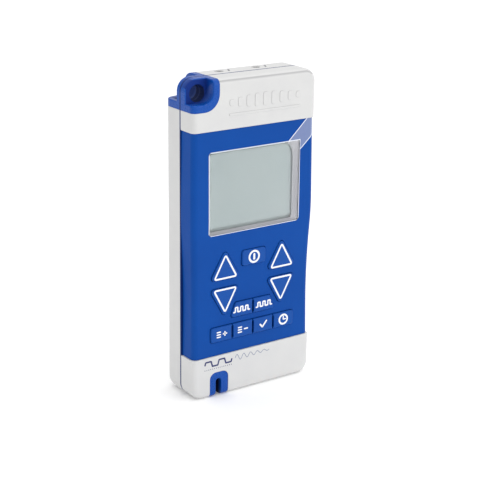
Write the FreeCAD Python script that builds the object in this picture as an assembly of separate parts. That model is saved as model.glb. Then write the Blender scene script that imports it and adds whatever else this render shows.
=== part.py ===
import FreeCAD, Part
import math
import os

# Two-channel nerve and muscle stimulator with eleven keys and a display.
# Lengths are in millimetres. X is the width, Y the depth with the keys facing -Y,
# Z the height, and the unit stands on its narrow end at Z = 0.

os.makedirs("parts", exist_ok=True)

# ---------------------------------------------------------------- overall size
HEIGHT = 136.0
HALF_WIDTH = 30.35
FRONT_Y = -11.05
REAR_Y = 11.25
EMBOSS_Y = -11.25
CORNER_R = 5.5
CAVITY_R = 4.0
FRONT_ROUND_R = 2.3
REAR_ROUND_R = 5.0
SEAM_FRONT_Y = -1.92
SEAM_REAR_Y = -1.12
WALL = 1.9
FIT_GAP = 0.05
EXACT = 0.001
NEAR = 0.01
LOOSE = 0.05
CUT_MARGIN = 5.0

# ------------------------------------------------------- blue front cover skin
COVER_Z0 = 18.46
COVER_Z1 = 115.16
COVER_BACK_Y = -9.2
CORE_HALF_WIDTH = 28.3
CORE_FRONT_Y = -9.1
CORE_LEDGE_BACK_Y = -7.9
CORE_INNER_HALF_WIDTH = 27.2
CORE_OPENING_HALF_WIDTH = 25.5
CORE_OPENING_Z0 = 20.5
CORE_OPENING_Z1 = 113.2
CORE_END_GAP = 0.1
COVER_SIDE_GAP = 0.1
COVER_CORNER_R = 2.3
COVER_SECTIONS = 24
COVER_HOLE_SOFT = 0.2
COVER_MIDDLE_Y = -9.9
END_EDGE_SOFT = 0.3
END_EDGE_MARGIN = 0.4
# The cover is flush with the ends at its hip and pulled in at its waist.
COVER_INSETS = (
    (18.46, 0.62),
    (24.0, 0.70),
    (30.0, 0.79),
    (36.0, 0.87),
    (42.0, 0.90),
    (50.0, 0.84),
    (59.0, 0.64),
    (66.0, 0.38),
    (72.0, 0.14),
    (78.0, 0.03),
    (88.0, 0.10),
    (100.0, 0.24),
    (115.16, 0.40),
)

# ----------------------------------------------------------- display and lens
WINDOW_X0 = -22.7
WINDOW_X1 = 22.8
WINDOW_Z0 = 71.5
WINDOW_Z1 = 106.75
WINDOW_R = 1.6
LENS_SKIRT_BACK_Y = -8.3
LENS_SKIRT_INSET = 0.35
LENS_SKIRT_WALL = 1.0
# The clear arm runs from the window's upper right corner to the cover's corner.
ARM_UPPER = ((16.7, 106.7), (25.75, 115.16))
ARM_LOWER = ((23.0, 102.4), (31.4, 109.75))
ARM_END_X = 33.0
ARM_END_Z = 118.0
ARM_ROOT_X = 18.0
ARM_ROOT_Z = 101.0
LCD_X0 = -22.2
LCD_X1 = 20.9
LCD_Z0 = 72.3
LCD_Z1 = 106.9
LCD_FRONT_Y = -8.1
LCD_BACK_Y = -6.1
LCD_GAP = 0.1
LCD_FRAME_X0 = -24.2
LCD_FRAME_X1 = 24.2
LCD_FRAME_Z0 = 70.7
LCD_FRAME_Z1 = 109.2
LCD_FRAME_BACK_Y = -4.7
LCD_FRAME_FRONT_Y = -8.2
LCD_FRAME_LIP = 1.2
LCD_FRAME_LIP_BACK_Y = -6.0
REFLECTOR_INSET = 2.4
REFLECTOR_BACK_Y = -5.6
ZEBRA_Z0 = 72.9
ZEBRA_HEIGHT = 1.6
ZEBRA_END_GAP = 1.0

# ---------------------------------------------------------- lanyard eye corner
EYE_EDGE_X = -17.75
EYE_EDGE_Z = 123.3
EYE_EDGE_R = 7.0
EYE_POCKET_X = -20.6
EYE_POCKET_Z = 126.4
EYE_POCKET_R = 4.7
EYE_PLATE_FRONT_Y = -5.27
EYE_PLATE_REAR_Y = 1.23
EYE_HOLE_X = -24.7
EYE_HOLE_Z = 130.1
EYE_HOLE_R = 3.5
EYE_BACKING = 1.1
EYE_RIM_SOFT = 0.5
EYE_HOLE_SOFT = 0.4
EYE_PLATE_SOFT = 0.4

# ----------------------------------------------------------------- strap slot
SLOT_X0 = -21.85
SLOT_X1 = -12.5
SLOT_TOP_Z = 11.1
SLOT_CORNER_R = 3.0
SLOT_BACK_Y = -3.6
SLOT_CUT_X0 = -18.75
SLOT_CUT_X1 = -16.1
SLOT_CUT_TOP_Z = 8.0
SLOT_CUT_BACK_Y = -4.9
SLOT_BACKING = 1.1
SLOT_RIM_SOFT = 0.35

# ------------------------------------------------------------ embossed emblem
EMBLEM_Z = 126.0
EMBLEM_X0 = -12.0
EMBLEM_PITCH = 4.1
EMBLEM_COUNT = 9
EMBLEM_BAR_WIDTH = 2.2
EMBLEM_CORNER_R = 0.8
EMBLEM_SOFT = 0.17
EMBLEM_RULE_R = 0.35
EMBLEM_BAR_MIN = 2.6
EMBLEM_BAR_SWING = 3.0
EMBLEM_RULE_X0 = -13.2
EMBLEM_RULE_X1 = 21.9
EMBLEM_RULE_Z0 = 120.7
EMBLEM_RULE_Z1 = 121.7

# ------------------------------------------------------------------------ keys
KEY_GAP = 0.15
KEY_RISE = 0.7
KEY_BACK_Y = -8.55
KEY_FLANGE_FRONT_Y = -9.05
KEY_FLANGE_EXTRA = 0.6
KEY_TRAVEL = 0.5
KEY_EDGE_R = 0.6
TRIANGLE_X = 14.3
TRIANGLE_HALF_BASE = 7.5
TRIANGLE_BASE_UP_Z = 51.9
TRIANGLE_APEX_UP_Z = 64.9
TRIANGLE_BASE_DOWN_Z = 48.1
TRIANGLE_APEX_DOWN_Z = 34.9
TRIANGLE_R = 1.3
POWER_HALF_WIDTH = 5.95
POWER_Z0 = 56.0
POWER_Z1 = 62.8
POWER_R = 1.3
AUTO_TOP_Z = 40.4
AUTO_BOTTOM_Z = 33.9
AUTO_TOP_HALF_WIDTH = 8.9
AUTO_BOTTOM_HALF_WIDTH = 11.4
AUTO_R = 1.1
STRIP_HALF_WIDTH = 21.25
STRIP_Z0 = 24.5
STRIP_Z1 = 31.1
STRIP_R = 1.1
STRIP_SPLIT_X = 10.5
SPLIT_GAP = 0.3
SPLIT_NEIGHBOURHOOD = 2.0
SLIT_WIDTH = 1.1
SLIT_END = 0.7

# ------------------------------------------------- key mat, boards and screws
MAT_FRONT_Y = -7.6
MAT_BACK_Y = -7.25
MAT_DOME_Y = -8.0
MAT_DOME_R = 2.2
MAT_DOME_TOP_R = 1.6
MAT_HALF_WIDTH = 24.3
MAT_Z0 = 22.0
MAT_Z1 = 68.0
KEY_BOARD_FRONT_Y = -7.2
KEY_BOARD_BACK_Y = -6.0
KEY_BOARD_HALF_WIDTH = 24.8
KEY_BOARD_Z0 = 21.5
KEY_BOARD_Z1 = 68.5
MAIN_BOARD_FRONT_Y = -4.6
MAIN_BOARD_BACK_Y = -3.2
MAIN_BOARD_HALF_WIDTH = 26.4
MAIN_BOARD_Z0 = 70.6
MAIN_BOARD_Z1 = 132.0
MAIN_BOARD_NOTCH_X = -15.4
MAIN_BOARD_NOTCH_Z = 120.9
FLEX_HALF_WIDTH = 8.0
FLEX_THICKNESS = 0.14
FLEX_START = 0.6
FLEX_STEP = 0.5
FLEX_LAND = 2.2
SCREW_SITES = ((-22.5, 15.3), (22.5, 9.5), (-22.5, 118.5), (22.5, 127.0))
BOSS_R = 3.0
BOSS_FRONT_TOP_Y = -2.05
BOSS_ROOT_Y = -9.3
PILLAR_R = 3.5
PILLAR_FRONT_Y = -1.1
SCREW_R = 1.3
SCREW_HOLE_R = 1.35
SCREW_CLEAR_R = 1.6
SCREW_TIP_Y = -7.4
SCREW_HEAD_R = 2.4
SCREW_HEAD_FRONT_Y = 7.6
SCREW_HEAD_BACK_Y = 9.6
SCREW_POCKET_R = 2.65
SCREW_SEAT_Y = 7.55
SCREW_SLOT_LENGTH = 3.0
SCREW_SLOT_WIDTH = 0.7
SCREW_SLOT_DEPTH = 0.9
BOARD_HOLE_R = 3.3

# --------------------------------------------------------------- battery bay
BAY_HALF_WIDTH = 15.0
BAY_WALL = 1.0
BAY_FLOOR_Y = -5.05
BAY_FRONT_Y = -5.85
BAY_Z0 = 13.4
BAY_Z1 = 69.0
DOOR_SEAT_Y = 9.6
PAD_FRONT_Y = 8.35
PAD_HALF_WIDTH = 18.3
PAD_TOP_Z = 70.0
DOOR_HALF_WIDTH = 16.4
DOOR_TOP_Z = 66.8
DOOR_BOTTOM_Z = 0.1
DOOR_GAP = 0.25
DOOR_TOE_GAP = 0.15
DOOR_INNER_Y = 9.75
DOOR_TOE_Y = 6.4
DOOR_TOE_TOP_Z = 1.6
DOOR_SHELF_Z = 3.1
DOOR_SHELF_Y = 5.0
RAIL_OUT = 0.8
RAIL_THICKNESS = 0.5
RAIL_Z0 = 8.0
RAIL_Z1 = 58.0
TONGUE_HALF_WIDTH = 8.0
TONGUE_REACH = 1.3
GRIP_HALF_WIDTH = 5.0
GRIP_HEIGHT = 0.9
GRIP_DEPTH = 0.55
GRIP_PITCH = 2.0
GRIP_Z = 56.5
GRIP_COUNT = 4
DOOR_EDGE_SOFT = 0.3
SOCKET_EDGE_SOFT = 0.3
WINDOW_EDGE_SOFT = 0.45
WINDOW_PROUD = 0.25
CELL_R = 7.15
CELL_X = 7.4
CELL_Y = 2.3
CELL_BODY_LENGTH = 49.2
CELL_NUB_R = 2.75
CELL_NUB_LENGTH = 1.2
CELL_NUB_LAP = 0.1
CELL_EDGE_R = 0.6
SPRING_R = 3.6
SPRING_WIRE_R = 0.35
SPRING_PITCH = 0.6
SPRING_TAPER = 0.15
PLATE_THICKNESS = 0.4
PLATE_HALF_WIDTH = 6.2
PLATE_HALF_DEPTH = 5.2

# ------------------------------------------------------------------- top end
SOCKET_XS = (-8.5, 9.7)
SOCKET_Y = 3.9
SOCKET_HOLE_R = 1.9
SOCKET_BORE_R = 1.9
SOCKET_HALF = 3.7
SOCKET_Z0 = 120.6
SOCKET_Z1 = 133.7
SOCKET_BORE_LENGTH = 12.0
CONTACT_HALF_WIDTH = 0.9
CONTACT_THICKNESS = 0.5
CONTACT_OFFSETS = (1.4, 9.6)

# ------------------------------------------------------- electronic components
COMPONENT_Y = -3.15
TRANSFORMER_XS = (-12.5, 12.5)
TRANSFORMER_Z = 99.5
CORE_HALF_X = 7.4
CORE_HALF_Z = 6.4
CORE_DEPTH = 9.0
CORE_LIMB = 1.9
CORE_STACK_HALF = 2.7
COIL_HALF_X = 5.3
COIL_GAP = 0.1
COIL_CORNER_R = 1.2
CHIP_HALF = 6.0
CHIP_Z = 84.0
CHIP_THICKNESS = 1.5
CAPACITOR_R = 3.1
CAPACITOR_LENGTH = 9.0
CAPACITOR_SITES = ((-19.0, 84.0), (21.3, 112.5))
BUZZER_X = 17.0
BUZZER_Z = 80.6
BUZZER_R = 5.6
BUZZER_DEPTH = 4.4
BUZZER_HOLE_R = 1.0
CRYSTAL_X0 = -8.0
CRYSTAL_X1 = 2.2
CRYSTAL_Z0 = 73.2
CRYSTAL_Z1 = 76.0
CRYSTAL_DEPTH = 3.4
CRYSTAL_CORNER_R = 1.2
DRIVER_XS = (-9.3, -3.1, 3.1, 9.3)
DRIVER_Z0 = 110.2
DRIVER_Z1 = 115.6
DRIVER_HALF_X = 2.4
DRIVER_DEPTH = 1.7
INDUCTOR_X = -10.6
INDUCTOR_Z = 81.8
INDUCTOR_R = 3.4
INDUCTOR_WAIST_R = 2.4
INDUCTOR_DEPTH = 5.0

# ------------------------------------------------------------------ rear label
LABEL_HALF_WIDTH = 17.5
LABEL_Z0 = 78.0
LABEL_Z1 = 106.0
LABEL_R = 1.5
LABEL_DEPTH = 0.2
LABEL_THICKNESS = 0.15


# ==================================================================== helpers
def box(x0, x1, y0, y1, z0, z1):
    """Axis-aligned block between two corners."""
    corner = FreeCAD.Vector(x0, y0, z0)
    return Part.makeBox(x1 - x0, y1 - y0, z1 - z0, corner)


def cylinder_y(x, z, y0, y1, radius):
    """Round bar along Y."""
    start = FreeCAD.Vector(x, y0, z)
    return Part.makeCylinder(radius, y1 - y0, start, FreeCAD.Vector(0, 1, 0))


def cylinder_z(x, y, z0, z1, radius):
    """Round bar along Z."""
    start = FreeCAD.Vector(x, y, z0)
    return Part.makeCylinder(radius, z1 - z0, start, FreeCAD.Vector(0, 0, 1))


def edges_along(shape, axis_name):
    """Straight edges of a shape that run along one axis."""
    picked = []
    for edge in shape.Edges:
        if not isinstance(edge.Curve, Part.Line):
            continue
        direction = edge.Curve.Direction
        if abs(getattr(direction, axis_name)) > 0.999:
            picked.append(edge)
    return picked


def prism(points, y0, y1, radius):
    """Polygon given as (x, z) points, pushed along Y, with its corners rounded."""
    ring = []
    for x, z in points:
        ring.append(FreeCAD.Vector(x, y0, z))
    ring.append(ring[0])
    face = Part.Face(Part.makePolygon(ring))
    solid = face.extrude(FreeCAD.Vector(0, y1 - y0, 0))
    if radius > 0:
        solid = solid.makeFillet(radius, edges_along(solid, "y"))
    return solid


def rounded_slab(x0, x1, z0, z1, y0, y1, radius):
    """Rectangle in X and Z with rounded corners, pushed along Y."""
    points = ((x0, z0), (x1, z0), (x1, z1), (x0, z1))
    return prism(points, y0, y1, radius)


def edges_in_plane(shape, y):
    """Edges of a shape that lie wholly in the plane at one Y."""
    picked = []
    for edge in shape.Edges:
        low = edge.BoundBox.YMin
        high = edge.BoundBox.YMax
        if abs(low - y) < EXACT and abs(high - y) < EXACT:
            picked.append(edge)
    return picked


def soften_front(shape, y, radius):
    """Round the edges of the face that lies at one Y."""
    return shape.makeFillet(radius, edges_in_plane(shape, y))


def soften_edges(shape, radius, wanted):
    """Round every edge that the test picks, or leave all of them sharp if they can't be rounded."""
    picked = []
    for edge in shape.Edges:
        if wanted(edge):
            picked.append(edge)
    if not picked:
        print("no edge to round")
        return shape
    try:
        rounded = shape.makeFillet(radius, picked)
    except Part.OCCError:
        print("left sharp:", len(picked), "edges")
        return shape
    if rounded.isValid() and rounded.Volume > 0:
        return rounded
    print("left sharp:", len(picked), "edges")
    return shape


def save(shape, node):
    """Write one node, joining its faces first."""
    cleaned = shape.removeSplitter()
    cleaned.exportStep("parts/" + node + ".step")
    volume = round(cleaned.Volume, 2)
    print(node, "solids", len(cleaned.Solids), "volume", volume, "valid", cleaned.isValid())


def inset_at(z):
    """How far the cover lies inside the full outline at one height."""
    last = len(COVER_INSETS) - 1
    index = 0
    while index < last - 1 and z > COVER_INSETS[index + 1][0]:
        index += 1
    z0, inset0 = COVER_INSETS[index]
    z1, inset1 = COVER_INSETS[index + 1]
    span = z1 - z0
    share = (z - z0) / span
    slope0 = inset_slope(index) * span
    slope1 = inset_slope(index + 1) * span
    square = share * share
    cube = square * share
    value = (2.0 * cube - 3.0 * square + 1.0) * inset0
    value += (cube - 2.0 * square + share) * slope0
    value += (3.0 * square - 2.0 * cube) * inset1
    value += (cube - square) * slope1
    return value


def inset_slope(index):
    """Slope of the inset curve at one of its stations."""
    low = max(index - 1, 0)
    high = min(index + 1, len(COVER_INSETS) - 1)
    rise = COVER_INSETS[high][1] - COVER_INSETS[low][1]
    return rise / (COVER_INSETS[high][0] - COVER_INSETS[low][0])


# ============================================================== shared volumes
def outer_volume():
    """The whole unit as one solid block with its rounded edges."""
    block = rounded_slab(-HALF_WIDTH, HALF_WIDTH, 0, HEIGHT, FRONT_Y, REAR_Y, CORNER_R)
    block = soften_front(block, FRONT_Y, FRONT_ROUND_R)
    return soften_front(block, REAR_Y, REAR_ROUND_R)


def cavity_volume():
    """The hollow inside both shells."""
    half = HALF_WIDTH - WALL
    radius = CAVITY_R
    hollow = rounded_slab(-half, half, WALL, HEIGHT - WALL, CORE_LEDGE_BACK_Y, REAR_Y - WALL, radius)
    return soften_front(hollow, REAR_Y - WALL, REAR_ROUND_R - WALL)


def eye_region(y0, y1, grow):
    """Corner block that the lanyard eye fills, seen from the front."""
    right = EYE_EDGE_X + grow
    low = EYE_EDGE_Z - grow
    block = box(-HALF_WIDTH - CUT_MARGIN, right, y0, y1, low, HEIGHT + CUT_MARGIN)
    corner = []
    for edge in edges_along(block, "y"):
        if edge.BoundBox.XMin > right - NEAR and edge.BoundBox.ZMax < low + NEAR:
            corner.append(edge)
    return block.makeFillet(EYE_EDGE_R + grow, corner)


def eye_pocket(y0, y1):
    """Notch in front of or behind the eye's plate."""
    block = box(-HALF_WIDTH - CUT_MARGIN, EYE_POCKET_X, y0, y1, EYE_POCKET_Z, HEIGHT + CUT_MARGIN)
    corner = []
    for edge in edges_along(block, "y"):
        if edge.BoundBox.XMin > EYE_POCKET_X - NEAR and edge.BoundBox.ZMax < EYE_POCKET_Z + NEAR:
            corner.append(edge)
    return block.makeFillet(EYE_POCKET_R, corner)


def eye_hole():
    """Round hole right through the eye."""
    return cylinder_y(EYE_HOLE_X, EYE_HOLE_Z, FRONT_Y - CUT_MARGIN, REAR_Y + CUT_MARGIN, EYE_HOLE_R)


def slot_region(y0, y1, grow):
    """Arch-shaped block of the strap slot, open at the foot."""
    points = (
        (SLOT_X0 - grow, -CUT_MARGIN),
        (SLOT_X1 + grow, -CUT_MARGIN),
        (SLOT_X1 + grow, SLOT_TOP_Z + grow),
        (SLOT_X0 - grow, SLOT_TOP_Z + grow),
    )
    block = prism(points, y0, y1, 0)
    corners = []
    for edge in edges_along(block, "y"):
        if edge.BoundBox.ZMin > SLOT_TOP_Z:
            corners.append(edge)
        elif edge.BoundBox.ZMin > 0:
            corners.append(edge)
    return block.makeFillet(SLOT_CORNER_R + grow, corners)


# =================================================================== the cover
def cover_section(z, inset):
    """Closed outline of the cover at one height."""
    half = HALF_WIDTH - inset
    front = FRONT_Y + inset
    back = SEAM_FRONT_Y - FIT_GAP
    r = COVER_CORNER_R
    bend = r * (1.0 - math.sqrt(0.5))
    left_mid = FreeCAD.Vector(-half + bend, front + bend, z)
    right_mid = FreeCAD.Vector(half - bend, front + bend, z)
    p_back_left = FreeCAD.Vector(-half, back, z)
    p_left = FreeCAD.Vector(-half, front + r, z)
    p_front_left = FreeCAD.Vector(-half + r, front, z)
    p_front_right = FreeCAD.Vector(half - r, front, z)
    p_right = FreeCAD.Vector(half, front + r, z)
    p_back_right = FreeCAD.Vector(half, back, z)
    edges = [
        Part.makeLine(p_back_left, p_left),
        Part.Arc(p_left, left_mid, p_front_left).toShape(),
        Part.makeLine(p_front_left, p_front_right),
        Part.Arc(p_front_right, right_mid, p_right).toShape(),
        Part.makeLine(p_right, p_back_right),
        Part.makeLine(p_back_right, p_back_left),
    ]
    return Part.Wire(edges)


def cover_skin():
    """Waisted skin of the front and both sides before any hole is cut."""
    sections = []
    for index in range(COVER_SECTIONS + 1):
        z = COVER_Z0 + (COVER_Z1 - COVER_Z0) * index / COVER_SECTIONS
        sections.append(cover_section(z, inset_at(z)))
    solid = Part.makeLoft(sections, True, False)
    half = CORE_HALF_WIDTH + COVER_SIDE_GAP
    core = box(-half, half, COVER_BACK_Y, REAR_Y, 0, HEIGHT)
    return solid.cut(core)


def window_shape(grow):
    """Window outline with its slanting arm, as one block through the skin."""
    y0 = FRONT_Y - CUT_MARGIN
    y1 = COVER_BACK_Y + CUT_MARGIN
    pane = rounded_slab(
        WINDOW_X0 - grow, WINDOW_X1 + grow, WINDOW_Z0 - grow, WINDOW_Z1 + grow, y0, y1, WINDOW_R + grow)
    arm_points = (
        (ARM_ROOT_X, ARM_ROOT_Z),
        (ARM_LOWER[0][0], ARM_LOWER[0][1] - grow),
        (ARM_LOWER[1][0], ARM_LOWER[1][1] - grow),
        (ARM_END_X, ARM_END_Z),
        (ARM_UPPER[1][0] + ARM_END_Z - ARM_UPPER[1][1] - grow, ARM_END_Z),
        (ARM_UPPER[1][0] - grow, ARM_UPPER[1][1]),
        (ARM_UPPER[0][0] - grow, ARM_UPPER[0][1]),
    )
    return pane.fuse(prism(arm_points, y0, y1, 0))


def make_front_cover(skin, key_outlines):
    """Blue skin with the window, the arm and every key cut out of it."""
    cover = skin.cut(window_shape(0))
    for outline in key_outlines:
        cover = cover.cut(outline)
        bounds = outline.BoundBox
        cover = soften_edges(cover, COVER_HOLE_SOFT, lambda edge: on_mouth(edge, bounds))
    return cover


def on_mouth(edge, bounds):
    """True for the front edges of one hole in the cover."""
    middle = edge.CenterOfMass
    grow = LOOSE
    across = bounds.XMin - grow < middle.x < bounds.XMax + grow
    up = bounds.ZMin - grow < middle.z < bounds.ZMax + grow
    return across and up and edge.BoundBox.YMax < COVER_MIDDLE_Y


def window_pad():
    """Raised face of the window, with a softened rim."""
    g = FIT_GAP
    y0 = FRONT_Y + inset_at(WINDOW_Z1) - WINDOW_PROUD
    pad = rounded_slab(
        WINDOW_X0 + g, WINDOW_X1 - g, WINDOW_Z0 + g, WINDOW_Z1 - g, y0, COVER_BACK_Y, WINDOW_R)
    return soften_front(pad, y0, WINDOW_EDGE_SOFT)


def make_display_window(skin):
    """Clear window, a little proud of the skin, with a skirt behind its edge."""
    pane = skin.common(window_shape(-FIT_GAP)).fuse(window_pad())
    inset = LENS_SKIRT_INSET
    x0 = WINDOW_X0 + inset
    x1 = WINDOW_X1 - inset
    z0 = WINDOW_Z0 + inset
    z1 = WINDOW_Z1 - inset
    skirt = rounded_slab(x0, x1, z0, z1, COVER_BACK_Y, LENS_SKIRT_BACK_Y, WINDOW_R)
    w = LENS_SKIRT_WALL
    hollow = rounded_slab(x0 + w, x1 - w, z0 + w, z1 - w, COVER_BACK_Y, LENS_SKIRT_BACK_Y, WINDOW_R)
    return pane.fuse(skirt.cut(hollow))


# ======================================================================= keys
def triangle_points(x, base_z, apex_z, grow):
    """Corners of a triangular key, moved outwards by grow."""
    direction = 1.0 if apex_z > base_z else -1.0
    height = abs(apex_z - base_z)
    side = math.hypot(TRIANGLE_HALF_BASE, height)
    half = TRIANGLE_HALF_BASE + grow * (side + TRIANGLE_HALF_BASE) / height
    apex = apex_z + direction * grow * side / TRIANGLE_HALF_BASE
    base = base_z - direction * grow
    return ((x - half, base), (x + half, base), (x, apex))


def split_sides(x0, x1, z0, z1, grow):
    """Rectangle corners of a key between two splits."""
    return ((x0 - grow, z0 - grow), (x1 + grow, z0 - grow), (x1 + grow, z1 + grow), (x0 - grow, z1 + grow))


def auto_points(side, grow):
    """Corners of one half of the trapezoid key pair."""
    inner = SPLIT_GAP / 2.0 - grow
    low = AUTO_BOTTOM_HALF_WIDTH + grow
    high = AUTO_TOP_HALF_WIDTH + grow
    bottom = AUTO_BOTTOM_Z - grow
    top = AUTO_TOP_Z + grow
    return ((side * inner, bottom), (side * low, bottom), (side * high, top), (side * inner, top))


KEYS = (
    ("left_up_key", "triangle", (-TRIANGLE_X, TRIANGLE_BASE_UP_Z, TRIANGLE_APEX_UP_Z)),
    ("left_down_key", "triangle", (-TRIANGLE_X, TRIANGLE_BASE_DOWN_Z, TRIANGLE_APEX_DOWN_Z)),
    ("right_up_key", "triangle", (TRIANGLE_X, TRIANGLE_BASE_UP_Z, TRIANGLE_APEX_UP_Z)),
    ("right_down_key", "triangle", (TRIANGLE_X, TRIANGLE_BASE_DOWN_Z, TRIANGLE_APEX_DOWN_Z)),
    ("power_key", "power", ()),
    ("auto_left_key", "auto", (-1.0,)),
    ("auto_right_key", "auto", (1.0,)),
    ("program_up_key", "strip", (0,)),
    ("program_down_key", "strip", (1,)),
    ("set_key", "strip", (2,)),
    ("timer_key", "strip", (3,)),
)


def strip_edges(index):
    """Left and right side of one key in the bottom strip."""
    half = SPLIT_GAP / 2.0
    cuts = (-STRIP_HALF_WIDTH - half, -STRIP_SPLIT_X, 0.0, STRIP_SPLIT_X, STRIP_HALF_WIDTH + half)
    return cuts[index] + half, cuts[index + 1] - half


def key_body(kind, values, grow, y0, y1):
    """One key's outline pushed along Y."""
    if kind == "triangle":
        x, base_z, apex_z = values
        return prism(triangle_points(x, base_z, apex_z, grow), y0, y1, TRIANGLE_R + max(grow, 0))
    if kind == "power":
        half = POWER_HALF_WIDTH + grow
        return rounded_slab(-half, half, POWER_Z0 - grow, POWER_Z1 + grow, y0, y1, POWER_R)
    if kind == "auto":
        block = prism(auto_points(values[0], grow), y0, y1, 0)
        return round_outer(block, values[0] * SPLIT_GAP / 2.0, AUTO_R)
    x0, x1 = strip_edges(values[0])
    block = prism(split_sides(x0, x1, STRIP_Z0, STRIP_Z1, grow), y0, y1, 0)
    if values[0] == 0:
        return round_outer(block, x1, STRIP_R)
    if values[0] == 3:
        return round_outer(block, x0, STRIP_R)
    return block


def round_outer(block, inner_x, radius):
    """Round the two upright corners away from a split."""
    corners = []
    for edge in edges_along(block, "y"):
        if abs(edge.BoundBox.XMin - inner_x) > SPLIT_NEIGHBOURHOOD:
            corners.append(edge)
    return block.makeFillet(radius, corners)


def slit_cuts(kind, y0, y1):
    """Wide middle part of each split in a key group."""
    half = SLIT_WIDTH / 2.0
    if kind == "auto":
        return [box(-half, half, y0, y1, AUTO_BOTTOM_Z + SLIT_END, AUTO_TOP_Z - SLIT_END)]
    cuts = []
    for x in (-STRIP_SPLIT_X, 0.0, STRIP_SPLIT_X):
        cuts.append(box(x - half, x + half, y0, y1, STRIP_Z0 + SLIT_END, STRIP_Z1 - SLIT_END))
    return cuts


def key_centre_z(kind, values):
    """Height of a key's middle."""
    if kind == "triangle":
        return (values[1] * 2.0 + values[2]) / 3.0
    if kind == "power":
        return (POWER_Z0 + POWER_Z1) / 2.0
    if kind == "auto":
        return (AUTO_TOP_Z + AUTO_BOTTOM_Z) / 2.0
    return (STRIP_Z0 + STRIP_Z1) / 2.0


def key_centre_x(kind, values):
    """Sideways position of a key's middle."""
    if kind == "triangle":
        return values[0]
    if kind == "power":
        return 0.0
    if kind == "auto":
        return values[0] * (AUTO_TOP_HALF_WIDTH + AUTO_BOTTOM_HALF_WIDTH) / 4.0
    x0, x1 = strip_edges(values[0])
    return (x0 + x1) / 2.0


def make_key(kind, values):
    """Key cap with a flange that keeps it behind the cover."""
    face_y = FRONT_Y + inset_at(key_centre_z(kind, values)) - KEY_RISE
    cap = key_body(kind, values, 0, face_y, KEY_FLANGE_FRONT_Y)
    cap = soften_front(cap, face_y, KEY_EDGE_R)
    if kind in ("auto", "strip"):
        flange = key_body(kind, values, 0, KEY_FLANGE_FRONT_Y, KEY_BACK_Y)
        foot = flange_strips(kind, values)
        flange = flange.fuse(foot)
    else:
        flange = key_body(kind, values, KEY_FLANGE_EXTRA, KEY_FLANGE_FRONT_Y, KEY_BACK_Y)
    key = cap.fuse(flange)
    if kind in ("auto", "strip"):
        for cut in slit_cuts(kind, face_y - CUT_MARGIN, KEY_BACK_Y + CUT_MARGIN):
            key = key.cut(cut)
    return key


def flange_strips(kind, values):
    """Flange above and below a key that has a neighbour beside it."""
    extra = KEY_FLANGE_EXTRA
    if kind == "auto":
        side = values[0]
        x_inner = side * SPLIT_GAP / 2.0
        x_outer = side * AUTO_TOP_HALF_WIDTH
        low = AUTO_BOTTOM_Z
        high = AUTO_TOP_Z
    else:
        x_inner, x_outer = strip_edges(values[0])
        low = STRIP_Z0
        high = STRIP_Z1
    x0 = min(x_inner, x_outer) + STRIP_R
    x1 = max(x_inner, x_outer) - STRIP_R
    return box(x0, x1, KEY_FLANGE_FRONT_Y, KEY_BACK_Y, low - extra, high + extra)


def key_openings():
    """Blocks that the keys' holes take out of the cover."""
    y0 = FRONT_Y - CUT_MARGIN
    y1 = COVER_BACK_Y + CUT_MARGIN
    blocks = []
    for name, kind, values in KEYS:
        if kind in ("triangle", "power"):
            blocks.append(key_body(kind, values, KEY_GAP, y0, y1))
    top = AUTO_TOP_HALF_WIDTH + KEY_GAP
    bottom = AUTO_BOTTOM_HALF_WIDTH + KEY_GAP
    pair = (
        (-bottom, AUTO_BOTTOM_Z - KEY_GAP),
        (bottom, AUTO_BOTTOM_Z - KEY_GAP),
        (top, AUTO_TOP_Z + KEY_GAP),
        (-top, AUTO_TOP_Z + KEY_GAP),
    )
    blocks.append(prism(pair, y0, y1, AUTO_R + KEY_GAP))
    half = STRIP_HALF_WIDTH + KEY_GAP
    low = STRIP_Z0 - KEY_GAP
    high = STRIP_Z1 + KEY_GAP
    blocks.append(rounded_slab(-half, half, low, high, y0, y1, STRIP_R + KEY_GAP))
    return blocks


def make_key_mat():
    """Rubber sheet with one dome behind each key."""
    mat = rounded_slab(-MAT_HALF_WIDTH, MAT_HALF_WIDTH, MAT_Z0, MAT_Z1, MAT_FRONT_Y, MAT_BACK_Y, TRIANGLE_R)
    for name, kind, values in KEYS:
        x = key_centre_x(kind, values)
        z = key_centre_z(kind, values)
        start = FreeCAD.Vector(x, MAT_FRONT_Y + FIT_GAP, z)
        length = MAT_FRONT_Y + FIT_GAP - MAT_DOME_Y
        dome = Part.makeCone(MAT_DOME_R, MAT_DOME_TOP_R, length, start, FreeCAD.Vector(0, -1, 0))
        mat = mat.fuse(dome)
    return mat


# ==================================================================== shells
def emblem_bar(x0, x1, z0, z1, radius):
    """One raised bar with rounded corners and a softened face."""
    bar = rounded_slab(x0, x1, z0, z1, EMBOSS_Y, FRONT_Y + FIT_GAP, radius)
    return soften_front(bar, EMBOSS_Y, EMBLEM_SOFT)


def emblem_bars():
    """Raised row of bars whose length swells and fades, over a plain rule."""
    bars = emblem_bar(EMBLEM_RULE_X0, EMBLEM_RULE_X1, EMBLEM_RULE_Z0, EMBLEM_RULE_Z1, EMBLEM_RULE_R)
    for index in range(EMBLEM_COUNT):
        phase = math.pi * index / (EMBLEM_COUNT - 1)
        half = (EMBLEM_BAR_MIN + EMBLEM_BAR_SWING * math.sin(phase)) / 2.0
        x = EMBLEM_X0 + EMBLEM_PITCH * index
        w = EMBLEM_BAR_WIDTH / 2.0
        bars = bars.fuse(emblem_bar(x - w, x + w, EMBLEM_Z - half, EMBLEM_Z + half, EMBLEM_CORNER_R))
    return bars


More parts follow.
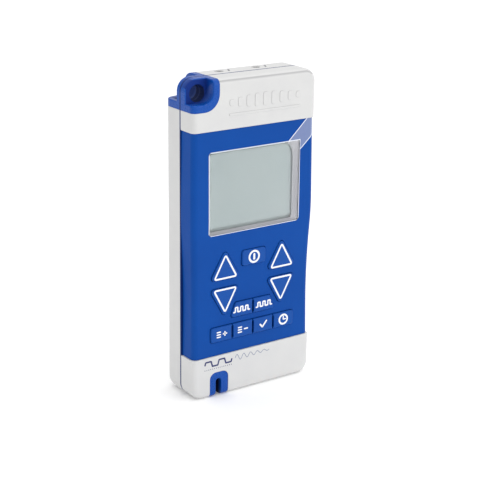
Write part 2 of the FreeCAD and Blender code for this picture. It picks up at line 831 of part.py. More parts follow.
def front_bosses():
    """Screw bosses standing on the front shell's wall."""
    bosses = []
    for x, z in SCREW_SITES:
        boss = cylinder_y(x, z, BOSS_ROOT_Y, BOSS_FRONT_TOP_Y, BOSS_R)
        bosses.append(boss)
    return bosses


def on_end_edge(edge, z0, z1):
    """True for the outer edges where the silver ends meet the cover."""
    bounds = edge.BoundBox
    flat = bounds.ZMax - bounds.ZMin < EXACT
    level = min(abs(bounds.ZMin - z0), abs(bounds.ZMin - z1)) < EXACT
    middle = edge.CenterOfMass
    beside = abs(middle.x) > CORE_HALF_WIDTH + END_EDGE_MARGIN
    before = middle.y < CORE_FRONT_Y - END_EDGE_MARGIN
    return flat and level and (beside or before)


def make_front_shell(outer):
    """Silver front shell: both ends, and the core frame under the cover."""
    front_half = box(-HALF_WIDTH, HALF_WIDTH, FRONT_Y, SEAM_FRONT_Y, 0, HEIGHT)
    shell = outer.common(front_half)
    z0 = COVER_Z0 - CORE_END_GAP
    z1 = COVER_Z1 + CORE_END_GAP
    band = box(-HALF_WIDTH - 1, HALF_WIDTH + 1, FRONT_Y - 1, SEAM_FRONT_Y + 1, z0, z1)
    core = box(-CORE_HALF_WIDTH, CORE_HALF_WIDTH, CORE_FRONT_Y, SEAM_FRONT_Y + 1, z0, z1)
    shell = shell.cut(band.cut(core))
    shell = soften_edges(shell, END_EDGE_SOFT, lambda edge: on_end_edge(edge, z0, z1))
    half = CORE_INNER_HALF_WIDTH
    hollow = rounded_slab(-half, half, WALL, HEIGHT - WALL, CORE_LEDGE_BACK_Y, REAR_Y, CORNER_R - WALL)
    shell = shell.cut(hollow)
    thin = FRONT_Y + WALL
    for low, high in ((WALL, COVER_Z0 - WALL), (COVER_Z1 + WALL, HEIGHT - WALL)):
        pocket = rounded_slab(-half, half, low, high, thin, CORE_LEDGE_BACK_Y, CORNER_R - WALL)
        shell = shell.cut(pocket)
    w = CORE_OPENING_HALF_WIDTH
    opening = box(-w, w, CORE_FRONT_Y - 1, CORE_LEDGE_BACK_Y, CORE_OPENING_Z0, CORE_OPENING_Z1)
    shell = shell.cut(opening)
    backing = outer.common(eye_region(FRONT_Y, SEAM_FRONT_Y, EYE_BACKING))
    shell = shell.fuse(backing)
    slot_backing = outer.common(slot_region(FRONT_Y, SLOT_BACK_Y + SLOT_BACKING, SLOT_BACKING))
    shell = shell.fuse(slot_backing)
    for boss in front_bosses():
        shell = shell.fuse(boss)
    shell = shell.cut(eye_region(FRONT_Y - 1, SEAM_FRONT_Y + 1, 0))
    shell = shell.cut(slot_region(FRONT_Y - 1, SLOT_BACK_Y, 0))
    for x, z in SCREW_SITES:
        shell = shell.cut(cylinder_y(x, z, SCREW_TIP_Y - FIT_GAP, SEAM_FRONT_Y, SCREW_HOLE_R))
    return shell.fuse(emblem_bars())


def make_rear_shell(outer, cavity):
    """Silver rear shell with the battery bay, pillars and door track."""
    rear_half = box(-HALF_WIDTH, HALF_WIDTH, SEAM_REAR_Y, REAR_Y, 0, HEIGHT)
    shell = outer.common(rear_half).cut(cavity)
    pad = box(-PAD_HALF_WIDTH, PAD_HALF_WIDTH, PAD_FRONT_Y, REAR_Y - WALL + FIT_GAP, WALL, PAD_TOP_Z)
    shell = shell.fuse(pad)
    shelf = box(-PAD_HALF_WIDTH, PAD_HALF_WIDTH, DOOR_SHELF_Y, PAD_FRONT_Y + FIT_GAP, WALL, DOOR_SHELF_Z)
    shell = shell.fuse(shelf)
    outer_half = BAY_HALF_WIDTH + BAY_WALL
    bay = box(-outer_half, outer_half, BAY_FRONT_Y, PAD_FRONT_Y, BAY_Z0 - BAY_WALL, BAY_Z1 + BAY_WALL)
    shell = shell.fuse(bay)
    for x, z in SCREW_SITES:
        shell = shell.fuse(cylinder_y(x, z, PILLAR_FRONT_Y, REAR_Y - WALL + FIT_GAP, PILLAR_R))
    backing = outer.common(eye_region(SEAM_REAR_Y, REAR_Y, EYE_BACKING))
    shell = shell.fuse(backing)
    shell = shell.cut(box(-BAY_HALF_WIDTH, BAY_HALF_WIDTH, BAY_FLOOR_Y, DOOR_SEAT_Y, BAY_Z0, BAY_Z1))
    shell = shell.cut(eye_region(SEAM_REAR_Y - 1, REAR_Y + 1, 0))
    for cut in door_track():
        shell = shell.cut(cut)
    for x, z in SCREW_SITES:
        shell = shell.cut(cylinder_y(x, z, PILLAR_FRONT_Y, REAR_Y, SCREW_CLEAR_R))
        shell = shell.cut(cylinder_y(x, z, SCREW_SEAT_Y, REAR_Y + 1, SCREW_POCKET_R))
    for x in SOCKET_XS:
        shell = shell.cut(cylinder_z(x, SOCKET_Y, HEIGHT - WALL - 1, HEIGHT + 1, SOCKET_HOLE_R))
    shell = soften_edges(shell, SOCKET_EDGE_SOFT, is_socket_rim)
    label = rounded_slab(
        -LABEL_HALF_WIDTH, LABEL_HALF_WIDTH, LABEL_Z0, LABEL_Z1, REAR_Y - LABEL_DEPTH, REAR_Y + 1, LABEL_R)
    return shell.cut(label)


def is_socket_rim(edge):
    """True for the rims of the holes in the top end."""
    if not isinstance(edge.Curve, Part.Circle):
        return False
    top = edge.BoundBox.ZMin > HEIGHT - EXACT
    return top and abs(edge.Curve.Radius - SOCKET_HOLE_R) < NEAR


def door_track():
    """Blocks cut from the rear shell so that the door can slide out of its foot."""
    half = DOOR_HALF_WIDTH + DOOR_GAP
    top = DOOR_TOP_Z + DOOR_GAP
    cuts = [box(-half, half, DOOR_SEAT_Y, REAR_Y + 1, -1, top)]
    toe_top = DOOR_TOE_TOP_Z + DOOR_TOE_GAP
    cuts.append(box(-half, half, DOOR_TOE_Y - DOOR_GAP, REAR_Y + 1, -1, toe_top))
    rail_half = DOOR_HALF_WIDTH + RAIL_OUT + DOOR_GAP
    groove_back = DOOR_INNER_Y + RAIL_THICKNESS + DOOR_GAP
    cuts.append(box(-rail_half, rail_half, DOOR_SEAT_Y, groove_back, -1, RAIL_Z1 + DOOR_GAP))
    tongue_half = TONGUE_HALF_WIDTH + DOOR_GAP
    tongue_top = DOOR_TOP_Z + TONGUE_REACH + DOOR_GAP
    cuts.append(box(-tongue_half, tongue_half, DOOR_SEAT_Y, groove_back, DOOR_TOP_Z - 1, tongue_top))
    return cuts


def is_door_rim(edge):
    """True for the door's two long sides and its top on the back face."""
    flat = edge.BoundBox.YMin > REAR_Y - EXACT
    middle = edge.CenterOfMass
    side = abs(abs(middle.x) - DOOR_HALF_WIDTH) < NEAR
    top = abs(middle.z - DOOR_TOP_Z) < NEAR
    return flat and (side or top)


def make_battery_door(outer):
    """Door that wraps round the foot, with side rails, a top tongue and grip grooves."""
    half = DOOR_HALF_WIDTH
    door = outer.common(box(-half, half, DOOR_TOE_Y, REAR_Y, DOOR_BOTTOM_Z, DOOR_TOP_Z))
    door = door.cut(box(-half, half, DOOR_TOE_Y, DOOR_INNER_Y, DOOR_TOE_TOP_Z, DOOR_TOP_Z))
    rail_half = half + RAIL_OUT
    rail_back = DOOR_INNER_Y + RAIL_THICKNESS
    door = door.fuse(box(-rail_half, rail_half, DOOR_INNER_Y, rail_back, RAIL_Z0, RAIL_Z1))
    tongue_top = DOOR_TOP_Z + TONGUE_REACH
    tongue = box(-TONGUE_HALF_WIDTH, TONGUE_HALF_WIDTH, DOOR_INNER_Y, rail_back, DOOR_TOP_Z - 1, tongue_top)
    door = door.fuse(tongue)
    for index in range(GRIP_COUNT):
        z = GRIP_Z + GRIP_PITCH * index
        groove = box(
            -GRIP_HALF_WIDTH, GRIP_HALF_WIDTH, REAR_Y - GRIP_DEPTH, REAR_Y + 1, z, z + GRIP_HEIGHT)
        door = door.cut(groove)
    return soften_edges(door, DOOR_EDGE_SOFT, is_door_rim)


def make_seam_gasket(outer):
    """Thin ring between the shells, solid where the eye's plate crosses it."""
    slab = outer.common(box(-HALF_WIDTH, HALF_WIDTH, SEAM_FRONT_Y, SEAM_REAR_Y, 0, HEIGHT))
    half = HALF_WIDTH - WALL
    inner = rounded_slab(
        -half, half, WALL, HEIGHT - WALL, SEAM_FRONT_Y - 1, SEAM_REAR_Y + 1, CORNER_R - WALL)
    ring = slab.cut(inner)
    plate = outer.common(eye_region(SEAM_FRONT_Y, SEAM_REAR_Y, 0))
    return ring.fuse(plate).cut(eye_hole())


def is_hole_rim(edge):
    """True for the circles where the eye's hole leaves the plate's faces."""
    if not isinstance(edge.Curve, Part.Circle):
        return False
    on_axis = math.hypot(edge.Curve.Center.x - EYE_HOLE_X, edge.Curve.Center.z - EYE_HOLE_Z) < NEAR
    y = edge.Curve.Center.y
    at_face = min(abs(y - EYE_PLATE_FRONT_Y), abs(y - EYE_PLATE_REAR_Y)) < NEAR
    return on_axis and at_face


def is_eye_rim(edge, face_y):
    """True for the pocket's mouth, and for the same line where it runs out over the rounded edges."""
    middle = edge.CenterOfMass
    inside = middle.x < EYE_POCKET_X + LOOSE and middle.z > EYE_POCKET_Z - LOOSE
    deep = abs(edge.BoundBox.YMin - edge.BoundBox.YMax) < EXACT
    return inside and deep and abs(middle.y - face_y) < NEAR


def is_plate_edge(edge, face_y):
    """True for the plate's outer edge, on its side away from the seam."""
    middle = edge.CenterOfMass
    flat = edge.BoundBox.YMax - edge.BoundBox.YMin < EXACT
    level = abs(middle.y - face_y) < NEAR
    outer = middle.x < -HALF_WIDTH + LOOSE or middle.z > HEIGHT - LOOSE
    corner = middle.x < -HALF_WIDTH + CORNER_R and middle.z > HEIGHT - CORNER_R
    return flat and level and (outer or corner)


def make_eye_half(outer, y0, y1, pocket_y0, pocket_y1, mouth_y, plate_y):
    """One half of the lanyard eye: its lining and its share of the plate."""
    block = outer.common(eye_region(y0, y1, -FIT_GAP))
    block = block.cut(eye_pocket(pocket_y0, pocket_y1))
    block = block.cut(eye_hole())
    block = soften_edges(block, EYE_HOLE_SOFT, is_hole_rim)
    block = soften_edges(block, EYE_RIM_SOFT, lambda edge: is_eye_rim(edge, mouth_y))
    return soften_edges(block, EYE_PLATE_SOFT, lambda edge: is_plate_edge(edge, plate_y))


def is_slot_mouth(edge):
    """True for the slot's edges on the front face."""
    middle = edge.CenterOfMass
    beside = SLOT_CUT_X0 - NEAR < middle.x < SLOT_CUT_X1 + NEAR
    return beside and edge.BoundBox.YMax < FRONT_Y + EXACT


def make_strap_slot(outer):
    """Blue arch at the foot with an upright slot that is open below."""
    block = outer.common(slot_region(FRONT_Y, SLOT_BACK_Y - FIT_GAP, -FIT_GAP))
    radius = (SLOT_CUT_X1 - SLOT_CUT_X0) / 2.0
    centre_x = (SLOT_CUT_X0 + SLOT_CUT_X1) / 2.0
    centre_z = SLOT_CUT_TOP_Z - radius
    slot = box(SLOT_CUT_X0, SLOT_CUT_X1, FRONT_Y - 1, SLOT_CUT_BACK_Y, -1, centre_z)
    slot = slot.fuse(cylinder_y(centre_x, centre_z, FRONT_Y - 1, SLOT_CUT_BACK_Y, radius))
    block = block.cut(slot)
    return soften_edges(block, SLOT_RIM_SOFT, is_slot_mouth)


def make_screws():
    """Case screws as a group of separate solids."""
    screws = []
    for x, z in SCREW_SITES:
        shaft = cylinder_y(x, z, SCREW_TIP_Y, SCREW_HEAD_FRONT_Y, SCREW_R)
        head = cylinder_y(x, z, SCREW_HEAD_FRONT_Y, SCREW_HEAD_BACK_Y, SCREW_HEAD_R)
        screw = shaft.fuse(head)
        long_half = SCREW_SLOT_LENGTH / 2.0
        short_half = SCREW_SLOT_WIDTH / 2.0
        y0 = SCREW_HEAD_BACK_Y - SCREW_SLOT_DEPTH
        y1 = SCREW_HEAD_BACK_Y + 1
        across = box(x - long_half, x + long_half, y0, y1, z - short_half, z + short_half)
        upright = box(x - short_half, x + short_half, y0, y1, z - long_half, z + long_half)
        screws.append(screw.cut(across).cut(upright))
    return Part.makeCompound(screws)


# ================================================================== internals
def make_lcd_frame():
    """Open frame that holds the display glass behind the window."""
    frame = box(
        LCD_FRAME_X0, LCD_FRAME_X1, LCD_FRAME_FRONT_Y, LCD_FRAME_BACK_Y, LCD_FRAME_Z0, LCD_FRAME_Z1)
    g = LCD_GAP
    seat = box(
        LCD_X0 - g, LCD_X1 + g, LCD_FRAME_FRONT_Y, LCD_FRAME_LIP_BACK_Y, LCD_Z0 - g, LCD_Z1 + g)
    lip = LCD_FRAME_LIP
    through = box(
        LCD_X0 + lip, LCD_X1 - lip, LCD_FRAME_FRONT_Y, LCD_FRAME_BACK_Y, LCD_Z0 + g, LCD_Z1 - lip)
    return frame.cut(seat).cut(through)


def make_lcd_glass():
    """Display glass sandwich, with a ledge along its lower edge."""
    middle = (LCD_FRONT_Y + LCD_BACK_Y) / 2.0
    rear = box(LCD_X0, LCD_X1, middle, LCD_BACK_Y, LCD_Z0, LCD_Z1)
    front = box(LCD_X0, LCD_X1, LCD_FRONT_Y, middle, LCD_Z0 + ZEBRA_HEIGHT, LCD_Z1)
    return rear.fuse(front)


def make_reflector():
    """Thin reflector sheet behind the display glass."""
    i = REFLECTOR_INSET
    return box(LCD_X0 + i, LCD_X1 - i, LCD_BACK_Y, REFLECTOR_BACK_Y, LCD_Z0 + 2 * i, LCD_Z1 - i)


def make_zebra_strip():
    """Rubber contact strip between the glass ledge and the main board."""
    g = LCD_FRAME_LIP + ZEBRA_END_GAP
    z1 = ZEBRA_Z0 + ZEBRA_HEIGHT
    return box(LCD_X0 + g, LCD_X1 - g, LCD_BACK_Y, MAIN_BOARD_FRONT_Y, ZEBRA_Z0, z1)


def make_main_board():
    """Main board with clearance for the eye, the bosses and the pillars."""
    w = MAIN_BOARD_HALF_WIDTH
    board = box(-w, w, MAIN_BOARD_FRONT_Y, MAIN_BOARD_BACK_Y, MAIN_BOARD_Z0, MAIN_BOARD_Z1)
    notch = box(
        -w - 1, MAIN_BOARD_NOTCH_X, MAIN_BOARD_FRONT_Y - 1, MAIN_BOARD_BACK_Y + 1,
        MAIN_BOARD_NOTCH_Z, MAIN_BOARD_Z1 + 1)
    board = board.cut(notch)
    for x, z in SCREW_SITES:
        board = board.cut(cylinder_y(x, z, MAIN_BOARD_FRONT_Y - 1, MAIN_BOARD_BACK_Y + 1, BOARD_HOLE_R))
    return board


def make_key_board():
    """Contact board behind the key mat."""
    w = KEY_BOARD_HALF_WIDTH
    return box(-w, w, KEY_BOARD_FRONT_Y, KEY_BOARD_BACK_Y, KEY_BOARD_Z0, KEY_BOARD_Z1)


def make_board_link():
    """Flat flexible link from the key board's back to the main board's edge."""
    w = FLEX_HALF_WIDTH
    t = FLEX_THICKNESS
    y_low = KEY_BOARD_BACK_Y
    y_high = MAIN_BOARD_FRONT_Y
    z0 = KEY_BOARD_Z1 - FLEX_LAND + FLEX_START
    z_step = MAIN_BOARD_Z0 - FLEX_STEP
    lower = box(-w, w, y_low, y_low + t, z0, z_step)
    step = box(-w, w, y_low, y_high, z_step, z_step + t)
    return lower.fuse(step)


def make_output_socket(x):
    """Moulded jack socket under one hole in the top end."""
    h = SOCKET_HALF
    body = box(x - h, x + h, SOCKET_Y - h, SOCKET_Y + h, SOCKET_Z0, SOCKET_Z1)
    bottom = SOCKET_Z1 - SOCKET_BORE_LENGTH
    return body.cut(cylinder_z(x, SOCKET_Y, bottom, SOCKET_Z1, SOCKET_BORE_R))


def make_socket_contacts():
    """Solder tags from both sockets to the main board."""
    tags = []
    for x in SOCKET_XS:
        for offset in CONTACT_OFFSETS:
            z = SOCKET_Z0 + offset
            y1 = SOCKET_Y - SOCKET_HALF
            w = CONTACT_HALF_WIDTH
            tags.append(box(x - w, x + w, MAIN_BOARD_BACK_Y, y1, z, z + CONTACT_THICKNESS))
    return Part.makeCompound(tags)


def make_transformer_core(x):
    """Ferrite core with a middle limb and two windows."""
    y0 = COMPONENT_Y
    y1 = y0 + CORE_DEPTH
    z_mid = TRANSFORMER_Z
    middle_y = (y0 + y1) / 2.0
    s = CORE_STACK_HALF
    z0 = z_mid - CORE_HALF_Z
    z1 = z_mid + CORE_HALF_Z
    core = box(x - CORE_HALF_X, x + CORE_HALF_X, middle_y - s, middle_y + s, z0, z1)
    top = z_mid + CORE_HALF_Z - CORE_LIMB
    low = z_mid - CORE_HALF_Z + CORE_LIMB
    for side in (-1.0, 1.0):
        a = x + side * CORE_LIMB
        b = x + side * (CORE_HALF_X - CORE_LIMB)
        core = core.cut(box(min(a, b), max(a, b), y0, y1, low, top))
    return core


def make_transformer_coil(x):
    """Winding round the core's middle limb."""
    y0 = COMPONENT_Y
    y1 = y0 + CORE_DEPTH
    g = COIL_GAP
    top = TRANSFORMER_Z + CORE_HALF_Z - CORE_LIMB - g
    low = TRANSFORMER_Z - CORE_HALF_Z + CORE_LIMB + g
    half = COIL_HALF_X
    coil = box(x - half, x + half, y0, y1, low, top)
    coil = coil.makeFillet(COIL_CORNER_R, edges_along(coil, "z"))
    middle_y = (y0 + y1) / 2.0
    s = CORE_STACK_HALF + g
    limb = CORE_LIMB + g
    return coil.cut(box(x - limb, x + limb, middle_y - s, middle_y + s, low - 1, top + 1))


def make_capacitors():
    """Two upright storage capacitors standing off the main board."""
    cans = []
    for x, z in CAPACITOR_SITES:
        can = cylinder_y(x, z, COMPONENT_Y, COMPONENT_Y + CAPACITOR_LENGTH, CAPACITOR_R)
        cans.append(can.makeFillet(CELL_EDGE_R, edges_in_plane(can, COMPONENT_Y + CAPACITOR_LENGTH)))
    return Part.makeCompound(cans)


def make_buzzer():
    """Round sounder with a small hole in its lid."""
    y1 = COMPONENT_Y + BUZZER_DEPTH
    drum = cylinder_y(BUZZER_X, BUZZER_Z, COMPONENT_Y, y1, BUZZER_R)
    return drum.cut(cylinder_y(BUZZER_X, BUZZER_Z, y1 - 1, y1 + 1, BUZZER_HOLE_R))


def make_drivers():
    """Row of small output driver packages."""
    chips = []
    for x in DRIVER_XS:
        w = DRIVER_HALF_X
        chips.append(box(x - w, x + w, COMPONENT_Y, COMPONENT_Y + DRIVER_DEPTH, DRIVER_Z0, DRIVER_Z1))
    return Part.makeCompound(chips)


def make_processor():
    """Flat processor package."""
    w = CHIP_HALF
    return box(-w + 1, w + 1, COMPONENT_Y, COMPONENT_Y + CHIP_THICKNESS, CHIP_Z - w, CHIP_Z + w)


def make_crystal():
    """Metal can of the clock crystal."""
    y1 = COMPONENT_Y + CRYSTAL_DEPTH
    can = box(CRYSTAL_X0, CRYSTAL_X1, COMPONENT_Y, y1, CRYSTAL_Z0, CRYSTAL_Z1)
    return can.makeFillet(CRYSTAL_CORNER_R, edges_along(can, "y"))


def make_inductor():
    """Drum inductor of the step-up supply."""
    y1 = COMPONENT_Y + INDUCTOR_DEPTH
    drum = cylinder_y(INDUCTOR_X, INDUCTOR_Z, COMPONENT_Y, y1, INDUCTOR_R)
    waist = cylinder_y(INDUCTOR_X, INDUCTOR_Z, COMPONENT_Y + 1, y1 - 1, INDUCTOR_R)
    bobbin = cylinder_y(INDUCTOR_X, INDUCTOR_Z, COMPONENT_Y + 1, y1 - 1, INDUCTOR_WAIST_R)
    return drum.cut(waist.cut(bobbin))


def make_cell(x, nub_up):
    """One round cell standing upright, with its raised contact up or down."""
    inner = BAY_Z0 + PLATE_THICKNESS
    outer = BAY_Z1 - PLATE_THICKNESS
    if nub_up:
        z0 = outer - CELL_NUB_LENGTH - CELL_BODY_LENGTH
        can = cylinder_z(x, CELL_Y, z0, z0 + CELL_BODY_LENGTH, CELL_R)
        nub = cylinder_z(x, CELL_Y, z0 + CELL_BODY_LENGTH - CELL_NUB_LAP, outer, CELL_NUB_R)
    else:
        z0 = inner + CELL_NUB_LENGTH
        can = cylinder_z(x, CELL_Y, z0, z0 + CELL_BODY_LENGTH, CELL_R)
        nub = cylinder_z(x, CELL_Y, inner, z0 + CELL_NUB_LAP, CELL_NUB_R)
    rims = []
    for edge in can.Edges:
        if isinstance(edge.Curve, Part.Circle):
            rims.append(edge)
    return can.makeFillet(CELL_EDGE_R, rims).fuse(nub)


def make_contact_plate(x0, x1, z0):
    """Flat contact plate at one end of the bay."""
    y0 = CELL_Y - PLATE_HALF_DEPTH
    y1 = CELL_Y + PLATE_HALF_DEPTH
    return box(x0, x1, y0, y1, z0, z0 + PLATE_THICKNESS)


def make_spring(x, z0, z1, widest_low):
    """Squeezed conical coil spring, turn upon turn, between a plate and a cell's flat end."""
    low = z0 + SPRING_WIRE_R
    length = z1 - z0 - 2 * SPRING_WIRE_R
    turns = int(length / SPRING_PITCH) + 1
    step = length / (turns - 1)
    upright = FreeCAD.Vector(0, 0, 1)
    spring = None
    for index in range(turns):
        rank = index if widest_low else turns - 1 - index
        radius = SPRING_R - SPRING_TAPER * rank
        centre = FreeCAD.Vector(x, CELL_Y, low + step * index)
        turn = Part.makeTorus(radius, SPRING_WIRE_R, centre, upright)
        spring = turn if spring is None else spring.fuse(turn)
    return spring


def make_label():
    """Blank rating label in its recess."""
    y0 = REAR_Y - LABEL_DEPTH
    g = FIT_GAP
    half = LABEL_HALF_WIDTH - g
    return rounded_slab(-half, half, LABEL_Z0 + g, LABEL_Z1 - g, y0, y0 + LABEL_THICKNESS, LABEL_R)


# ======================================================================= build
def build_case():
    """Shells, cover, window, eye, slot, door, gasket and screws."""
    outer = outer_volume()
    cavity = cavity_volume()
    skin = cover_skin()
    save(make_front_shell(outer), "front_shell")
    save(make_rear_shell(outer, cavity), "rear_shell")
    save(make_front_cover(skin, key_openings()), "front_cover")
    save(make_display_window(skin), "display_window")
    save(make_battery_door(outer), "battery_door")
    save(make_seam_gasket(outer), "seam_gasket")
    front_eye = make_eye_half(
        outer, FRONT_Y, SEAM_FRONT_Y, FRONT_Y - 1, EYE_PLATE_FRONT_Y, FRONT_Y, EYE_PLATE_FRONT_Y)
    save(front_eye, "front_lanyard_eye")
    rear_eye = make_eye_half(
        outer, SEAM_REAR_Y, REAR_Y, EYE_PLATE_REAR_Y, REAR_Y + 1, REAR_Y, EYE_PLATE_REAR_Y)
    save(rear_eye, "rear_lanyard_eye")
    save(make_strap_slot(outer), "strap_slot_insert")
    save(make_screws(), "case_screws")
    save(make_label(), "rating_label")


def build_keys():
    """Every key and the mat behind them."""
    for name, kind, values in KEYS:
        save(make_key(kind, values), name)
    save(make_key_mat(), "key_mat")


def build_electronics():
    """Display, boards and the parts on them."""
    save(make_lcd_frame(), "lcd_frame")
    save(make_lcd_glass(), "lcd_glass")
    save(make_reflector(), "lcd_reflector")
    save(make_zebra_strip(), "lcd_contact_strip")
    save(make_main_board(), "main_board")
    save(make_key_board(), "key_board")
    save(make_board_link(), "board_link_flex")
    save(make_processor(), "processor")
    save(make_crystal(), "crystal_can")
    save(make_capacitors(), "storage_capacitors")
    save(make_buzzer(), "buzzer")
    save(make_drivers(), "output_drivers")
    save(make_inductor(), "boost_inductor")
    for x, side in zip(TRANSFORMER_XS, ("left", "right")):
        save(make_transformer_core(x), side + "_transformer_core")
        save(make_transformer_coil(x), side + "_transformer_coil")
    for x, side in zip(SOCKET_XS, ("left", "right")):
        save(make_output_socket(x), side + "_output_socket")
    save(make_socket_contacts(), "socket_contacts")


def build_power():
    """Cells, contact plates and springs."""
    save(make_cell(-CELL_X, True), "left_cell")
    save(make_cell(CELL_X, False), "right_cell")
    w = PLATE_HALF_WIDTH
    top = BAY_Z1 - PLATE_THICKNESS
    save(make_contact_plate(-CELL_X - w, CELL_X + w, BAY_Z0), "link_contact_plate")
    save(make_contact_plate(-CELL_X - w, -CELL_X + w, top), "positive_contact_plate")
    save(make_contact_plate(CELL_X - w, CELL_X + w, top), "negative_contact_plate")
    spring_low = BAY_Z0 + PLATE_THICKNESS
    left_foot = BAY_Z1 - PLATE_THICKNESS - CELL_NUB_LENGTH - CELL_BODY_LENGTH
    save(make_spring(-CELL_X, spring_low, left_foot, True), "left_cell_spring")
    right_head = BAY_Z0 + PLATE_THICKNESS + CELL_NUB_LENGTH + CELL_BODY_LENGTH
    save(make_spring(CELL_X, right_head, top, False), "right_cell_spring")


def main():
    build_case()
    build_keys()
    build_electronics()
    build_power()


main()
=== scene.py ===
"""Looks of a handheld nerve and muscle stimulator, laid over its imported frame.

Lengths are in metres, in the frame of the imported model: X runs to the right as one faces the keys,
Y from the front to the back and Z upwards, with the foot of the case on Z = 0. Names that end in
_mm hold millimetres.
"""
import logging
import math
from dataclasses import dataclass
from enum import Enum
from typing import ClassVar

import bmesh
import bpy
import numpy as np
from mathutils import Matrix, Vector


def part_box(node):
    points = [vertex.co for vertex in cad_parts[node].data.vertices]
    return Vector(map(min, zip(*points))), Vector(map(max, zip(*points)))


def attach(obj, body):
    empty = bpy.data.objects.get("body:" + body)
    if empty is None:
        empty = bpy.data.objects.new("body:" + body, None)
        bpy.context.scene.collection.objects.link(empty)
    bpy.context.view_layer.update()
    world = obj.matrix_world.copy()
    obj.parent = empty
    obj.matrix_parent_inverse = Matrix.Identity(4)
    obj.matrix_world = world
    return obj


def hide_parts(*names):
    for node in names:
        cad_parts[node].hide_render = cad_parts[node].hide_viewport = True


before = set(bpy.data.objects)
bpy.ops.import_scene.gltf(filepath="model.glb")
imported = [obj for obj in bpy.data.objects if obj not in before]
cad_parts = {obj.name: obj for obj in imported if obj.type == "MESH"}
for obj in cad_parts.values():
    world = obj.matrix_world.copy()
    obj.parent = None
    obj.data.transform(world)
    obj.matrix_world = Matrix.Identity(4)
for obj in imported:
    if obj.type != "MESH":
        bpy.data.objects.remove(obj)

MM = 0.001
LOG = logging.getLogger("stimulator")

FULL_TURN = 2.0 * math.pi
# The share of its range that a noise really uses, and a narrower one for broad clouds.
NOISE_BAND = (0.3, 0.7)
CLOUD_BAND = (0.35, 0.65)
# The most of a side that the rounding of a corner takes up.
LONGEST_BEND = 0.45
SHARP_EDGE = math.radians(40.0)

Colour = tuple[float, float, float]
Pair = tuple[float, float]
Points = np.ndarray
Skin = tuple[Points, list[Points]]
Socket = bpy.types.NodeSocket


# ---------------------------------------------------------------- colour and node tools


def srgb(red: float, green: float, blue: float) -> Colour:
    """Turn a colour chart value into the linear colour that shaders take.

    Each channel is scaled to 0..1 and raised to the power 2.2.

    Args:
        red: Red from 0 to 255.
        green: Green from 0 to 255.
        blue: Blue from 0 to 255.

    Returns:
        The linear colour.
    """
    return tuple((channel / 255.0) ** 2.2 for channel in (red, green, blue))


